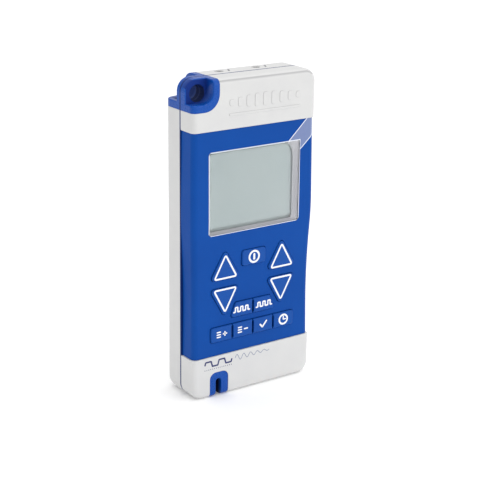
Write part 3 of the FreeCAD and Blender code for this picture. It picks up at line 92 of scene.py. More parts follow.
class Bench:
    """A workbench for one node material: short calls add a node and join it up."""

    def __init__(self, name: str) -> None:
        """Start an empty node material.

        Args:
            name: The material's name.
        """
        self.material = bpy.data.materials.new(name)
        self.material.use_nodes = True
        self.tree = self.material.node_tree
        self.tree.nodes.clear()
        self.output = self.add("ShaderNodeOutputMaterial")
        self.place = self.add("ShaderNodeTexCoord").outputs["Object"]

    def add(self, kind: str, **settings: object) -> bpy.types.Node:
        """Add a node and set its attributes.

        Args:
            kind: The node's type name.
            **settings: Attributes of the node, by name.

        Returns:
            The new node.
        """
        node = self.tree.nodes.new(kind)
        for key, value in settings.items():
            setattr(node, key, value)
        return node

    def feed(self, socket: Socket, value: object) -> None:
        """Give a socket its value: another node's output is linked, anything else is set.

        Args:
            socket: The input socket.
            value: A socket, a number or a colour.
        """
        if isinstance(value, Socket):
            self.tree.links.new(value, socket)
        elif isinstance(value, tuple) and len(value) == 3 and socket.type == "RGBA":
            socket.default_value = (*value, 1.0)
        else:
            socket.default_value = value

    def stretched(self, scale: tuple[float, float, float]) -> Socket:
        """Object coordinates stretched along the axes, for grain with a direction.

        Args:
            scale: The factor along X, Y and Z.

        Returns:
            The coordinates' socket.
        """
        node = self.add("ShaderNodeMapping")
        self.feed(node.inputs["Vector"], self.place)
        node.inputs["Scale"].default_value = scale
        return node.outputs["Vector"]

    def noise(self, grain: float, detail: float, vector: Socket | None = None) -> Socket:
        """Cloudy noise whose blots are about grain metres wide.

        Args:
            grain: The blots' width in metres.
            detail: How many finer layers lie on top.
            vector: Coordinates to read, or None for plain Object coordinates.

        Returns:
            The noise, from 0 to 1.
        """
        node = self.add("ShaderNodeTexNoise")
        self.feed(node.inputs["Vector"], vector or self.place)
        node.inputs["Scale"].default_value = 1.0 / grain
        node.inputs["Detail"].default_value = detail
        return node.outputs["Fac"]

    def pebbles(self, grain: float) -> Socket:
        """Distance to the nearest of scattered points, about grain metres apart.

        Args:
            grain: The points' spacing in metres.

        Returns:
            The distance, in spacings.
        """
        node = self.add("ShaderNodeTexVoronoi")
        self.feed(node.inputs["Vector"], self.place)
        node.inputs["Scale"].default_value = 1.0 / grain
        return node.outputs["Distance"]

    def waves(self, pitch: float, axis: str, wobble: float = 0.0) -> Socket:
        """Even ridges across an axis.

        Args:
            pitch: The ridges' spacing in metres.
            axis: X, Y or Z.
            wobble: How far the ridges wander.

        Returns:
            The ridges' height, from 0 to 1.
        """
        node = self.add("ShaderNodeTexWave", bands_direction=axis)
        self.feed(node.inputs["Vector"], self.place)
        node.inputs["Scale"].default_value = math.pi / (10.0 * pitch)
        node.inputs["Distortion"].default_value = wobble
        return node.outputs["Fac"]

    def lattice(self, pitch: float) -> Socket:
        """Dots where ridges across X and across Z meet, a pitch apart."""
        return self.sum("MULTIPLY", self.waves(pitch, "X"), self.waves(pitch, "Z"))

    def axis(self, letter: str) -> Socket:
        """One Object coordinate, in metres."""
        node = self.add("ShaderNodeSeparateXYZ")
        self.feed(node.inputs[0], self.place)
        return node.outputs[letter]

    def past_line(self, start: Pair, end: Pair) -> Socket:
        """Distance to the left of a line across X and Z, in metres.

        It is n . (P - A) for the line's start A and the unit vector n to its left.

        Args:
            start: X and Z of the line's start, in millimetres.
            end: X and Z of its end, in millimetres.

        Returns:
            The distance, below 0 on the line's right.
        """
        run = np.subtract(end, start)
        left = np.array([-run[1], run[0]]) / np.hypot(*run)
        node = self.add("ShaderNodeVectorMath", operation="DOT_PRODUCT")
        self.feed(node.inputs[0], self.place)
        node.inputs[1].default_value = (left[0], 0.0, left[1])
        return self.sum("SUBTRACT", node.outputs["Value"], float(left @ np.array(start)) * MM)

    def within(self, letter: str, lowest: float, highest: float, soft: float) -> Socket:
        """How far a coordinate lies inside a range, from 0 outside to 1 at soft metres within."""
        middle = (lowest + highest) / 2.0
        half = (highest - lowest) / 2.0
        off = self.sum("ABSOLUTE", self.sum("SUBTRACT", self.axis(letter), middle), 0.0)
        return self.span(off, (half - soft, half), (1.0, 0.0))

    def span(self, value: Socket, before: Pair, after: Pair = (0.0, 1.0)) -> Socket:
        """Carry a value from one range to another, held at both ends.

        Args:
            value: The value.
            before: The range that it has.
            after: The range that it gets.

        Returns:
            The carried value.
        """
        node = self.add("ShaderNodeMapRange")
        self.feed(node.inputs["Value"], value)
        node.inputs["From Min"].default_value, node.inputs["From Max"].default_value = before
        node.inputs["To Min"].default_value, node.inputs["To Max"].default_value = after
        return node.outputs["Result"]

    def vary(self, noise: Socket, ends: Pair) -> Socket:
        """Spread the part of its range that a noise really uses over a range of values."""
        return self.span(noise, NOISE_BAND, ends)

    def mix(self, share: Socket, under: bpy.types.Node, over: bpy.types.Node) -> bpy.types.Node:
        """Mix two shaders.

        Args:
            share: How much of the second shader shows, from 0 to 1.
            under: The first shader.
            over: The second shader.

        Returns:
            The mixing node.
        """
        node = self.add("ShaderNodeMixShader")
        for socket, value in zip(node.inputs, (share, under.outputs[0], over.outputs[0])):
            self.feed(socket, value)
        return node

    def sum(self, operation: str, one: object, two: object) -> Socket:
        """Work out one step of arithmetic on two values.

        Args:
            operation: The Math node's operation.
            one: The first value or socket.
            two: The second value or socket.

        Returns:
            The result.
        """
        node = self.add("ShaderNodeMath", operation=operation)
        for socket, value in zip(node.inputs, (one, two)):
            self.feed(socket, value)
        return node.outputs["Value"]

    def blend(self, share: object, under: object, over: object) -> Socket:
        """Blend two colours.

        Args:
            share: How much of the second colour shows, from 0 to 1.
            under: The first colour or socket.
            over: The second colour or socket.

        Returns:
            The blended colour.
        """
        node = self.add("ShaderNodeMix", data_type="RGBA")
        self.feed(node.inputs["Factor"], share)
        self.feed(node.inputs[6], under)
        self.feed(node.inputs[7], over)
        return node.outputs[2]

    def bump(
        self, height: Socket, depth: float, strength: float, under: Socket | None = None
    ) -> Socket:
        """Turn a height pattern into a surface relief.

        Args:
            height: The pattern, from 0 to 1.
            depth: The relief's depth in metres.
            strength: The share of the relief that shows.
            under: A relief that this one lies on.

        Returns:
            The bent normal.
        """
        node = self.add("ShaderNodeBump")
        self.feed(node.inputs["Height"], height)
        node.inputs["Distance"].default_value = depth
        node.inputs["Strength"].default_value = strength
        if under is not None:
            self.feed(node.inputs["Normal"], under)
        return node.outputs["Normal"]

    def shade(self, **inputs: object) -> bpy.types.Node:
        """Add the main shader.

        Args:
            **inputs: Its inputs by name, with _ for a space.

        Returns:
            The shader node.
        """
        node = self.add("ShaderNodeBsdfPrincipled")
        for key, value in inputs.items():
            self.feed(node.inputs[key.replace("_", " ")], value)
        return node

    def finish(self, shader: bpy.types.Node) -> bpy.types.Material:
        """Join a shader to the material's surface and hand the material over."""
        self.feed(self.output.inputs["Surface"], shader.outputs[0])
        return self.material


# ---------------------------------------------------------------- finishes


@dataclass(frozen=True)
class Hollow:
    """Painted shade for a recess or crease, where shade gathers and the gloss is lost.

    RIM_MM is how sharply its sides begin.

    Attributes:
        lowest: Its lowest corner, in millimetres.
        highest: Its highest corner, in millimetres.
        depth_mm: How far inside the box the shade reaches full strength.
        share: The strongest share of shade.
        colour: The shade's colour.
    """

    lowest: tuple[float, float, float]
    highest: tuple[float, float, float]
    depth_mm: float
    share: float
    colour: Colour
    RIM_MM = 0.02

    def reach(self, bench: Bench) -> Socket:
        """Work out how strongly the shade lies at each point.

        Args:
            bench: The material's bench.

        Returns:
            The share of shade, 0 outside the recess.
        """
        softness_mm = (self.RIM_MM, self.depth_mm, self.RIM_MM)
        share = self.share
        for letter, low_mm, high_mm, soft_mm in zip("XYZ", self.lowest, self.highest, softness_mm):
            inside = bench.within(letter, low_mm * MM, high_mm * MM, soft_mm * MM)
            share = bench.sum("MULTIPLY", share, inside)
        return share


@dataclass(frozen=True)
class Moulded:
    """Moulded or painted plastic: clouded colour, fine grain, uneven gloss and painted shade in its
    hollows.

    Its clouds and its soft swells are CLOUD_GRAINS and SWELL_GRAINS grains wide.

    Attributes:
        name: The material's name.
        colour: The main colour.
        shade: The colour that the main one clouds towards.
        grain_mm: Width of the texture's grains.
        depth_mm: Depth of the texture.
        gloss: Lowest and highest roughness.
        specular: Strength of the plain reflection.
        coat: Weight of a clear lacquer.
        hollows: Recesses with painted shade, where the colour darkens and the gloss is lost.
    """

    name: str
    colour: Colour
    shade: Colour
    grain_mm: float = 0.25
    depth_mm: float = 0.006
    gloss: Pair = (0.38, 0.5)
    specular: float = 0.5
    coat: float = 0.0
    hollows: tuple[Hollow, ...] = ()
    CLOUD_GRAINS = 60.0
    SWELL_GRAINS = 14.0
    COAT_ROUGHNESS = 0.18

    def make(self) -> bpy.types.Material:
        """Make the material.

        Returns:
            The finished material.
        """
        bench = Bench(self.name)
        grain = self.grain_mm * MM
        depth = self.depth_mm * MM
        cloud = bench.noise(grain * self.CLOUD_GRAINS, 3.0)
        speckle = bench.noise(grain, 2.0)
        grip = bench.sum("MULTIPLY", cloud, bench.vary(speckle, (0.6, 1.0)))
        colour = bench.blend(bench.span(grip, (0.15, 0.6)), self.shade, self.colour)
        roughness = bench.vary(speckle, self.gloss)
        # Painted shade: each hollow darkens the colour and dulls the gloss.
        for hollow in self.hollows:
            share = hollow.reach(bench)
            colour = bench.blend(share, colour, hollow.colour)
            roughness = bench.sum("MAXIMUM", roughness, share)
        swell = bench.bump(bench.noise(grain * self.SWELL_GRAINS, 1.0), depth * 2.0, 0.4)
        relief = bench.bump(bench.pebbles(grain), depth, 0.6, swell)
        shader = bench.shade(
            Base_Color=colour,
            Roughness=roughness,
            Specular_IOR_Level=self.specular,
            Coat_Weight=self.coat,
            Coat_Roughness=self.COAT_ROUGHNESS,
            Normal=relief,
        )
        return bench.finish(shader)


@dataclass(frozen=True)
class Ink:
    """Screen-printed ink: even colour with faint mottling and a fine mesh relief.

    Attributes:
        name: The material's name.
        colour: The ink's colour.
        thin: Its colour where the layer is thin.
    """

    name: str
    colour: Colour
    thin: Colour

    def make(self) -> bpy.types.Material:
        """Make the material.

        Returns:
            The finished material.
        """
        bench = Bench(self.name)
        mottle = bench.noise(0.22 * MM, 3.0)
        screen = bench.lattice(0.09 * MM)
        shader = bench.shade(
            Base_Color=bench.blend(bench.span(mottle, CLOUD_BAND), self.thin, self.colour),
            Roughness=bench.vary(mottle, (0.39, 0.51)),
            Normal=bench.bump(screen, 0.002 * MM, 0.5),
        )
        return bench.finish(shader)


@dataclass(frozen=True)
class ClearPane:
    """Clear moulded window with a pale rim, whose slanting arm is painted on its back.

    Attributes:
        name: The material's name.
        tint: Colour of the clear plastic.
        arm: Colour of the painted back of the arm.
        arm_shade: The colour that the paint clouds towards.
        edge: Colour of the rim and of the painted highlight lines along the arm's edges.
        lowest: X and Z of the window's lower left corner, in millimetres.
        highest: X and Z of its upper right corner, in millimetres.
        arm_upper: Start and end of the arm's upper edge, in millimetres.
        arm_lower: Start and end of its lower edge, in millimetres.
        rim_mm: Width of the rim.
        highlight_line_mm: Width of the painted highlight lines along the arm's edges.
    """

    name: str
    tint: Colour
    arm: Colour
    arm_shade: Colour
    edge: Colour
    lowest: Pair = (-22.7, 71.5)
    highest: Pair = (22.8, 106.75)
    arm_upper: tuple[Pair, Pair] = ((16.7, 106.7), (25.75, 115.16))
    arm_lower: tuple[Pair, Pair] = ((31.4, 109.75), (23.0, 102.4))
    rim_mm: float = 0.42
    highlight_line_mm: float = 0.34

    def outside(self, bench: Bench) -> Socket:
        """Distance outside the window: the larger of |x - cx| - w and |z - cz| - h.

        Args:
            bench: The material's bench.

        Returns:
            The distance in metres, below 0 inside.
        """
        gaps = []
        for letter, low_mm, high_mm in zip("XZ", self.lowest, self.highest):
            middle = (low_mm + high_mm) / 2.0 * MM
            off = bench.sum("ABSOLUTE", bench.sum("SUBTRACT", bench.axis(letter), middle), 0.0)
            gaps.append(bench.sum("SUBTRACT", off, (high_mm - low_mm) / 2.0 * MM))
        return bench.sum("MAXIMUM", *gaps)

    def make(self) -> bpy.types.Material:
        """Make the material.

        Returns:
            The finished material.
        """
        bench = Bench(self.name)
        outside = self.outside(bench)
        on_arm = bench.span(outside, (0.0, 0.04 * MM))
        rim = self.rim_mm * MM
        on_rim = bench.span(outside, (-rim, -0.7 * rim))
        # Painted highlights: bright lines along the arm's upper and lower edges.
        line = self.highlight_line_mm * MM
        near = (-1.3 * line, -line)
        upper = bench.span(bench.past_line(*self.arm_upper), near)
        lower = bench.span(bench.past_line(*self.arm_lower), near)
        wander = bench.noise(4.0 * MM, 2.0)
        paint = bench.blend(wander, self.arm_shade, self.arm)
        paint = bench.blend(bench.sum("MAXIMUM", upper, lower), paint, self.edge)
        paint = bench.blend(on_arm, self.edge, paint)
        solid = bench.shade(
            Base_Color=paint,
            Roughness=bench.vary(wander, (0.3, 0.4)),
            Coat_Weight=1.0,
            Coat_Roughness=0.06,
        )
        see_through = bench.add("ShaderNodeBsdfTransparent")
        see_through.inputs["Color"].default_value = (*self.tint, 1.0)
        gloss = bench.add("ShaderNodeBsdfGlossy")
        bench.feed(gloss.inputs["Roughness"], bench.vary(wander, (0.02, 0.05)))
        mirror = bench.add("ShaderNodeFresnel")
        mirror.inputs["IOR"].default_value = 1.45
        pane = bench.mix(mirror.outputs[0], see_through, gloss)
        return bench.finish(bench.mix(bench.sum("MAXIMUM", on_arm, on_rim), pane, solid))


@dataclass(frozen=True)
class LiquidCrystal:
    """Unlit reflective display glass: grey green, slightly pearly, with a faint dot lattice.

    Attributes:
        name: The material's name.
        colour: The main colour.
        shade: The colour that it drifts towards across the glass.
        edge_shadow: Colour of the painted shadow that the window's mask casts along its right edge.
        edge_shadow_mm: X where the painted shadow starts and where it is full.
        dot_mm: Pitch of the dots.
    """

    name: str
    colour: Colour
    shade: Colour
    edge_shadow: Colour
    edge_shadow_mm: Pair = (18.4, 20.9)
    dot_mm: float = 0.42

    def make(self) -> bpy.types.Material:
        """Make the material.

        Returns:
            The finished material.
        """
        bench = Bench(self.name)
        drift = bench.noise(28.0 * MM, 1.0)
        dots = bench.lattice(self.dot_mm * MM)
        pearl = bench.noise(0.12 * MM, 2.0)
        body = bench.blend(bench.span(drift, CLOUD_BAND), self.shade, self.colour)
        dotted = bench.blend(bench.span(dots, (0.3, 0.9), (0.0, 0.03)), body, srgb(90, 104, 100))
        # Painted shadow: the glass darkens towards its right edge, as under the window's mask.
        shadow_band = tuple(edge * MM for edge in self.edge_shadow_mm)
        edge = bench.sum("POWER", bench.span(bench.axis("X"), shadow_band), 1.7)
        shader = bench.shade(
            Base_Color=bench.blend(bench.sum("MULTIPLY", edge, 0.5), dotted, self.edge_shadow),
            Roughness=bench.vary(pearl, (0.28, 0.36)),
            Specular_IOR_Level=0.35,
        )
        return bench.finish(shader)


@dataclass(frozen=True)
class Metal:
    """Bare or plated metal with drawn lines, faint stains and uneven polish.

    Attributes:
        name: The material's name.
        colour: The metal's colour.
        stain: Its colour where it has dulled.
        polish: Lowest and highest roughness.
        drawn: Stretch of the lines along X, Y and Z.
    """

    name: str
    colour: Colour
    stain: Colour
    polish: Pair = (0.2, 0.38)
    drawn: tuple[float, float, float] = (1.0, 1.0, 0.08)

    def make(self) -> bpy.types.Material:
        """Make the material.

        Returns:
            The finished material.
        """
        bench = Bench(self.name)
        lines = bench.noise(0.12 * MM, 3.0, bench.stretched(self.drawn))
        dull = bench.span(bench.noise(2.2 * MM, 4.0), (0.45, 0.7), (0.0, 0.7))
        shader = bench.shade(
            Base_Color=bench.blend(dull, self.colour, self.stain),
            Metallic=1.0,
            Roughness=bench.vary(lines, self.polish),
            Normal=bench.bump(lines, 0.003 * MM, 0.5),
        )
        return bench.finish(shader)


@dataclass(frozen=True)
class Laminate:
    """Circuit board: solder mask over copper tracks that run in steps.

    Attributes:
        name: The material's name.
        mask: Colour of the solder mask.
        track: Colour of the mask over copper.
        pitch_mm: Width of a track field.
    """

    name: str
    mask: Colour
    track: Colour
    pitch_mm: float = 1.3

    def make(self) -> bpy.types.Material:
        """Make the material.

        Returns:
            The finished material.
        """
        bench = Bench(self.name)
        cells = bench.add("ShaderNodeTexVoronoi", distance="CHEBYCHEV", feature="F1")
        bench.feed(cells.inputs["Vector"], bench.stretched((1.0, 0.02, 0.45)))
        cells.inputs["Scale"].default_value = 1.0 / (self.pitch_mm * MM)
        lines = bench.span(bench.waves(0.5 * MM, "X"), (0.45, 0.55))
        fields = bench.span(cells.outputs["Distance"], (0.25, 0.3))
        copper = bench.sum("MULTIPLY", lines, fields)
        weave = bench.noise(0.2 * MM, 2.0)
        shader = bench.shade(
            Base_Color=bench.blend(copper, self.mask, self.track),
            Roughness=bench.vary(weave, (0.25, 0.4)),
            Coat_Weight=0.3,
            Normal=bench.bump(copper, 0.03 * MM, 0.6),
        )
        return bench.finish(shader)


@dataclass(frozen=True)
class Wound:
    """Coil or tape wound in even turns.

    Attributes:
        name: The material's name.
        colour: Colour on a turn's crest.
        groove: Colour between turns, darker there as painted shade.
        pitch_mm: Spacing of the turns.
        axis: The axis that the turns are stacked along.
        metallic: Share of bare metal.
    """

    name: str
    colour: Colour
    groove: Colour
    pitch_mm: float
    axis: str
    metallic: float = 0.0

    def make(self) -> bpy.types.Material:
        """Make the material.

        Returns:
            The finished material.
        """
        bench = Bench(self.name)
        # Painted shade: the colour darkens in the grooves between turns.
        turns = bench.waves(self.pitch_mm * MM, self.axis, 0.2)
        fleck = bench.noise(0.6 * MM, 3.0)
        shader = bench.shade(
            Base_Color=bench.blend(turns, self.groove, self.colour),
            Metallic=self.metallic,
            Roughness=bench.vary(fleck, (0.25, 0.45)),
            Normal=bench.bump(turns, self.pitch_mm * MM * 0.3, 0.8),
        )
        return bench.finish(shader)


@dataclass(frozen=True)
class Jacket:
    """Printed sleeve of a round cell: a plain main band, a stripe and a pale band at one end.

    Attributes:
        name: The material's name.
        main: Colour of the main band.
        stripe: Colour of the narrow stripe.
        pale: Colour of the end band.
        metal: Colour of the bare ends.
        bottom: Z of the cell's flat end.
        top: Z of the sleeve's other end.
    """

    name: str
    main: Colour
    stripe: Colour
    pale: Colour
    metal: Colour
    bottom: float
    top: float

    def make(self) -> bpy.types.Material:
        """Make the material.

        The height along the sleeve, from 0 at the flat end to 1, picks the band.

        Returns:
            The finished material.
        """
        bench = Bench(self.name)
        along = bench.span(bench.axis("Z"), (self.bottom, self.top))
        to_pale = bench.span(along, (0.745, 0.747))
        to_stripe = bench.span(along, (0.715, 0.717))
        before_pale = bench.span(along, (0.745, 0.747), (1.0, 0.0))
        stripe = bench.sum("MULTIPLY", to_stripe, before_pale)
        top_end = bench.span(along, (0.992, 0.994))
        flat_end = bench.span(along, (0.006, 0.008), (1.0, 0.0))
        ends = bench.sum("MAXIMUM", top_end, flat_end)
        scuff = bench.noise(1.5 * MM, 5.0)
        colour = bench.blend(to_pale, self.main, self.pale)
        colour = bench.blend(stripe, colour, self.stripe)
        worn = bench.span(scuff, (0.6, 0.8), (0.0, 0.25))
        colour = bench.blend(worn, colour, srgb(150, 150, 150))
        shader = bench.shade(
            Base_Color=bench.blend(ends, colour, self.metal),
            Metallic=bench.span(ends, (0.0, 1.0), (0.25, 1.0)),
            Roughness=bench.vary(scuff, (0.22, 0.4)),
            Normal=bench.bump(scuff, 0.01 * MM, 0.3),
        )
        return bench.finish(shader)


# ---------------------------------------------------------------- surfaces on a grid


@dataclass(frozen=True)
class Face:
    """A flat face of the object to print on.

    Attributes:
        origin: The face's zero point.
        across: Unit vector to the reader's right.
        up: Unit vector upwards for the reader.
    """

    origin: tuple[float, float, float]
    across: tuple[float, float, float]
    up: tuple[float, float, float]

    def lift(self, flat: Points, height: Points) -> Points:
        """Carry flat points onto the face: origin + u across + v up + height outwards.

        Args:
            flat: Points of shape (..., 2), in metres.
            height: Heights over the face of shape (...), in metres.

        Returns:
            Points of shape (..., 3).
        """
        across = np.array(self.across)
        up = np.array(self.up)
        outward = np.cross(across, up)
        spread = flat[..., :1] * across + flat[..., 1:] * up
        return np.array(self.origin) + spread + height[..., None] * outward

    @classmethod
    def front(cls, origin: tuple[float, float, float]) -> "Face":
        """A face that looks forwards, as the keys do."""
        return cls(origin, (1.0, 0.0, 0.0), (0.0, 0.0, 1.0))

    @classmethod
    def back(cls, origin: tuple[float, float, float]) -> "Face":
        """A face that looks backwards."""
        return cls(origin, (-1.0, 0.0, 0.0), (0.0, 0.0, 1.0))


def grid_quads(rows: int, columns: int, round_rows: bool, round_columns: bool) -> Points:
    """Corner numbers of the quads between neighbouring points of a grid.

    Args:
        rows: Number of rows of points.
        columns: Number of points in a row.
        round_rows: Whether the last row joins the first.
        round_columns: Whether a row's last point joins its first.

    Returns:
        An array of shape (quads, 4).
    """
    row = np.arange(rows if round_rows else rows - 1)[:, None]
    column = np.arange(columns if round_columns else columns - 1)[None, :]
    next_row = (row + 1) % rows
    next_column = (column + 1) % columns
    corners = (
        row * columns + column,
        row * columns + next_column,
        next_row * columns + next_column,
        next_row * columns + column,
    )
    return np.stack(np.broadcast_arrays(*corners), axis=-1).reshape(-1, 4)


def capped_quads(rows: int, columns: int) -> list[Points]:
    """Faces of a tube made of rings of points, with one flat face over each end.

    Args:
        rows: Number of rings.
        columns: Points in a ring.

    Returns:
        The faces as arrays of corner numbers.
    """
    ring = np.arange(columns)
    ends = [ring[::-1], ring + (rows - 1) * columns]
    return [*grid_quads(rows, columns, False, True), *ends]


def bend_corners(corners: Points, radius: float | Points, closed: bool, steps: int = 7) -> Points:
    """Round off the corners of an outline.

    Each corner C is left out between two points a distance r along its sides, A and B, and the gap
    is filled by the parabola (1-s)^2 A + 2 s (1-s) C + s^2 B.

    Args:
        corners: The outline's corners, of shape (n, 2).
        radius: The distance r, or one for each corner, of shape (n, 1).
        closed: Whether the last corner joins the first.
        steps: Points on each rounded corner.

    Returns:
        The rounded outline, of shape (m, 2).
    """
    ends = []
    for shift in (1, -1):
        side = np.roll(corners, shift, axis=0) - corners
        length = np.linalg.norm(side, axis=1, keepdims=True)
        ends.append(corners + side / length * np.minimum(radius, LONGEST_BEND * length))
    start, end = ends
    share = np.linspace(0.0, 1.0, steps)[None, :, None]
    curve = (1 - share) ** 2 * start[:, None] + 2 * share * (1 - share) * corners[:, None]
    curve = curve + share**2 * end[:, None]
    if closed:
        return curve.reshape(-1, 2)
    inner = curve[1:-1].reshape(-1, 2)
    return np.concatenate([corners[:1], inner, corners[-1:]])


def ring_path(radius: float, steps: int = 48) -> Points:
    """Points (r cos t, r sin t) of a circle, for t once round."""
    turn = np.linspace(0.0, FULL_TURN, steps, endpoint=False)
    return radius * np.stack([np.cos(turn), np.sin(turn)], axis=-1)


@dataclass
class Stroke:
    """A printed or moulded line: a low profile carried along a path on a face.

    The profile is flat over TOP of its width and has its shoulders at SHOULDER of its height. A
    round end is made in CAP_STEPS steps that turn through CAP_ANGLE.

    Attributes:
        path: The line's middle, of shape (n, 2), in metres.
        width: The line's width.
        closed: Whether the path closes on itself.
    """

    path: Points
    width: float
    closed: bool = False
    TOP: ClassVar[float] = 0.86
    SHOULDER: ClassVar[float] = 0.55
    CAP_ANGLE: ClassVar[float] = 0.48 * math.pi
    CAP_STEPS: ClassVar[int] = 5

    def surface(self, face: Face, height: float, sink: float) -> Skin:
        """Work out the line's skin.

        Over the path's point P with side vector N, the skin's points are P + s w N at height h,
        where (s, h) runs once round a flat-topped profile. Past an open end the width shrinks as
        the cosine of an angle while the point moves on as its sine, so that the end is round.

        Args:
            face: The face that the line lies on.
            height: How far it stands proud.
            sink: How far its foot is let into the face.

        Returns:
            The points, of shape (m, 3), and the faces as arrays of corner numbers.
        """
        path = self.path
        half = np.full(len(path), self.width / 2.0)
        if not self.closed:
            turn = np.linspace(0.0, self.CAP_ANGLE, self.CAP_STEPS + 1)[1:]
            ends = (path[0] - path[1], path[-1] - path[-2])
            behind, ahead = (end / np.linalg.norm(end) for end in ends)
            reach = np.sin(turn)[:, None] * self.width / 2.0
            first = (path[0] + behind * reach)[::-1]
            path = np.concatenate([first, path, path[-1] + ahead * reach])
            cap = np.cos(turn) * self.width / 2.0
            half = np.concatenate([cap[::-1], half, cap])
        if self.closed:
            along = np.roll(path, -1, axis=0) - np.roll(path, 1, axis=0)
        else:
            along = np.gradient(path, axis=0)
        along = along / np.linalg.norm(along, axis=1, keepdims=True)
        side = np.stack([-along[:, 1], along[:, 0]], axis=-1)
        across = np.array([-1.0, -1.0, -self.TOP, self.TOP, 1.0, 1.0])
        shoulder = self.SHOULDER * height
        rise = np.array([-sink, shoulder, height, height, shoulder, -sink])
        flat = path[:, None] + side[:, None] * (half[:, None] * across)[..., None]
        points = face.lift(flat, np.broadcast_to(rise, flat.shape[:2]))
        if self.closed:
            faces = list(grid_quads(len(path), len(across), True, True))
        else:
            faces = capped_quads(len(path), len(across))
        return points.reshape(-1, 3), faces


def drawn(
    corners_mm: list[list[float]],
    width: float,
    rounding_mm: float = 0.0,
    shift: Points | Pair = (0.0, 0.0),
) -> Stroke:
    """Draw a line through corners that are given in millimetres.

    Args:
        corners_mm: The corners.
        width: The line's width, in metres.
        rounding_mm: How far from a corner its rounding starts.
        shift: Where the corners' zero point lies on the face, in metres.

    Returns:
        The line.
    """
    path = np.array(corners_mm) * MM + np.array(shift)
    if rounding_mm:
        path = bend_corners(path, rounding_mm * MM, False)
    return Stroke(path, width)


def join_skins(skins: list[Skin]) -> Skin:
    """Put several skins into one list of points and faces.

    Args:
        skins: Points and faces of each skin.

    Returns:
        All points, and all faces renumbered to match.
    """
    points: list[Points] = []
    faces: list[Points] = []
    count = 0
    for skin_points, skin_faces in skins:
        points.append(skin_points)
        faces += [corner + count for corner in skin_faces]
        count += len(skin_points)
    return np.concatenate(points), faces


def lathe(profile: Points, centre: Pair, steps: int) -> Skin:
    """Spin a profile round an upright axis.

    A profile point (r, z) gives the points (cx + r cos t, cy + r sin t, z) for t once round, and a
    flat disc closes each end.

    Args:
        profile: Radii and heights, of shape (n, 2).
        centre: X and Y of the axis.
        steps: Points in each ring.

    Returns:
        The points and the faces.
    """
    turn = np.linspace(0.0, FULL_TURN, steps, endpoint=False)
    radius = profile[:, :1]
    x = centre[0] + radius * np.cos(turn)
    y = centre[1] + radius * np.sin(turn)
    z = np.broadcast_to(profile[:, 1:], x.shape)
    points = np.stack([x, y, z], axis=-1).reshape(-1, 3)
    return points, capped_quads(len(profile), steps)


def add_piece(
    name: str,
    skin: Skin,
    material: bpy.types.Material,
    body: str,
    smooth: bool = True,
) -> bpy.types.Object:
    """Put a skin into the scene as a finished piece that rides on a body.

    Args:
        name: The piece's name.
        skin: Its points and faces.
        material: Its finish.
        body: The body that it rides on.
        smooth: Whether its faces are shaded smooth, with edges over SHARP_EDGE kept sharp.

    Returns:
        The new object.
    """
    points, faces = skin
    mesh = bpy.data.meshes.new(name)
    mesh.from_pydata(points.tolist(), [], [face.tolist() for face in faces])
    tidy = bmesh.new()
    tidy.from_mesh(mesh)
    bmesh.ops.recalc_face_normals(tidy, faces=tidy.faces)
    tidy.to_mesh(mesh)
    tidy.free()
    if smooth:
        mesh.polygons.foreach_set("use_smooth", np.ones(len(mesh.polygons), dtype=bool))
        mesh.set_sharp_from_angle(angle=SHARP_EDGE)
    mesh.materials.append(material)
    piece = bpy.data.objects.new(name, mesh)
    bpy.context.scene.collection.objects.link(piece)
    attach(piece, body)
    LOG.info("%s: %d points, rides on %s", name, len(points), body)
    return piece


class Extent:
    """The box round a CAD node, in metres."""

    def __init__(self, node: str) -> None:
        """Read the box and work out its middle and half its size.

        Args:
            node: The CAD node.
        """
        self.low, self.high = (np.array(corner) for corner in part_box(node))
        self.middle = (self.low + self.high) / 2.0
        self.half = (self.high - self.low) / 2.0


# ---------------------------------------------------------------- sub-assemblies


@dataclass
class Assembly:
    """A group of CAD nodes and new pieces that are dressed together.

    Attributes:
        paints: Materials by finish name.
        nodes: Finish name of each CAD node.
    """

    paints: dict[str, bpy.types.Material]
    nodes: ClassVar[dict[str, str]] = {}

    def dress(self) -> None:
        """Give each CAD node of the group its finish."""
        for node, paint in self.nodes.items():
            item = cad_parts[node]
            for holder in item.material_slots:
                holder.material = self.paints[paint]
            LOG.info("%s: finished in %s", node, paint)

    def build(self) -> None:
        """Add the group's new pieces. A plain group has none."""

    def print_lines(
        self,
        name: str,
        strokes: list[Stroke],
        face: Face,
        relief: Pair,
        ink: str,
        body: str,
        slot: str,
    ) -> None:
        """Add a piece that is made of printed or moulded lines.

        Args:
            name: The piece's name.
            strokes: Its lines.
            face: The face that they lie on.
            relief: How far they stand proud, and how far they are let in.
            ink: Their finish's name.
            body: The body that the piece rides on.
            slot: The record's material slot that the lines belong to; not used.
        """
        skins = [stroke.surface(face, *relief) for stroke in strokes]
        add_piece(name, join_skins(skins), self.paints[ink], body)


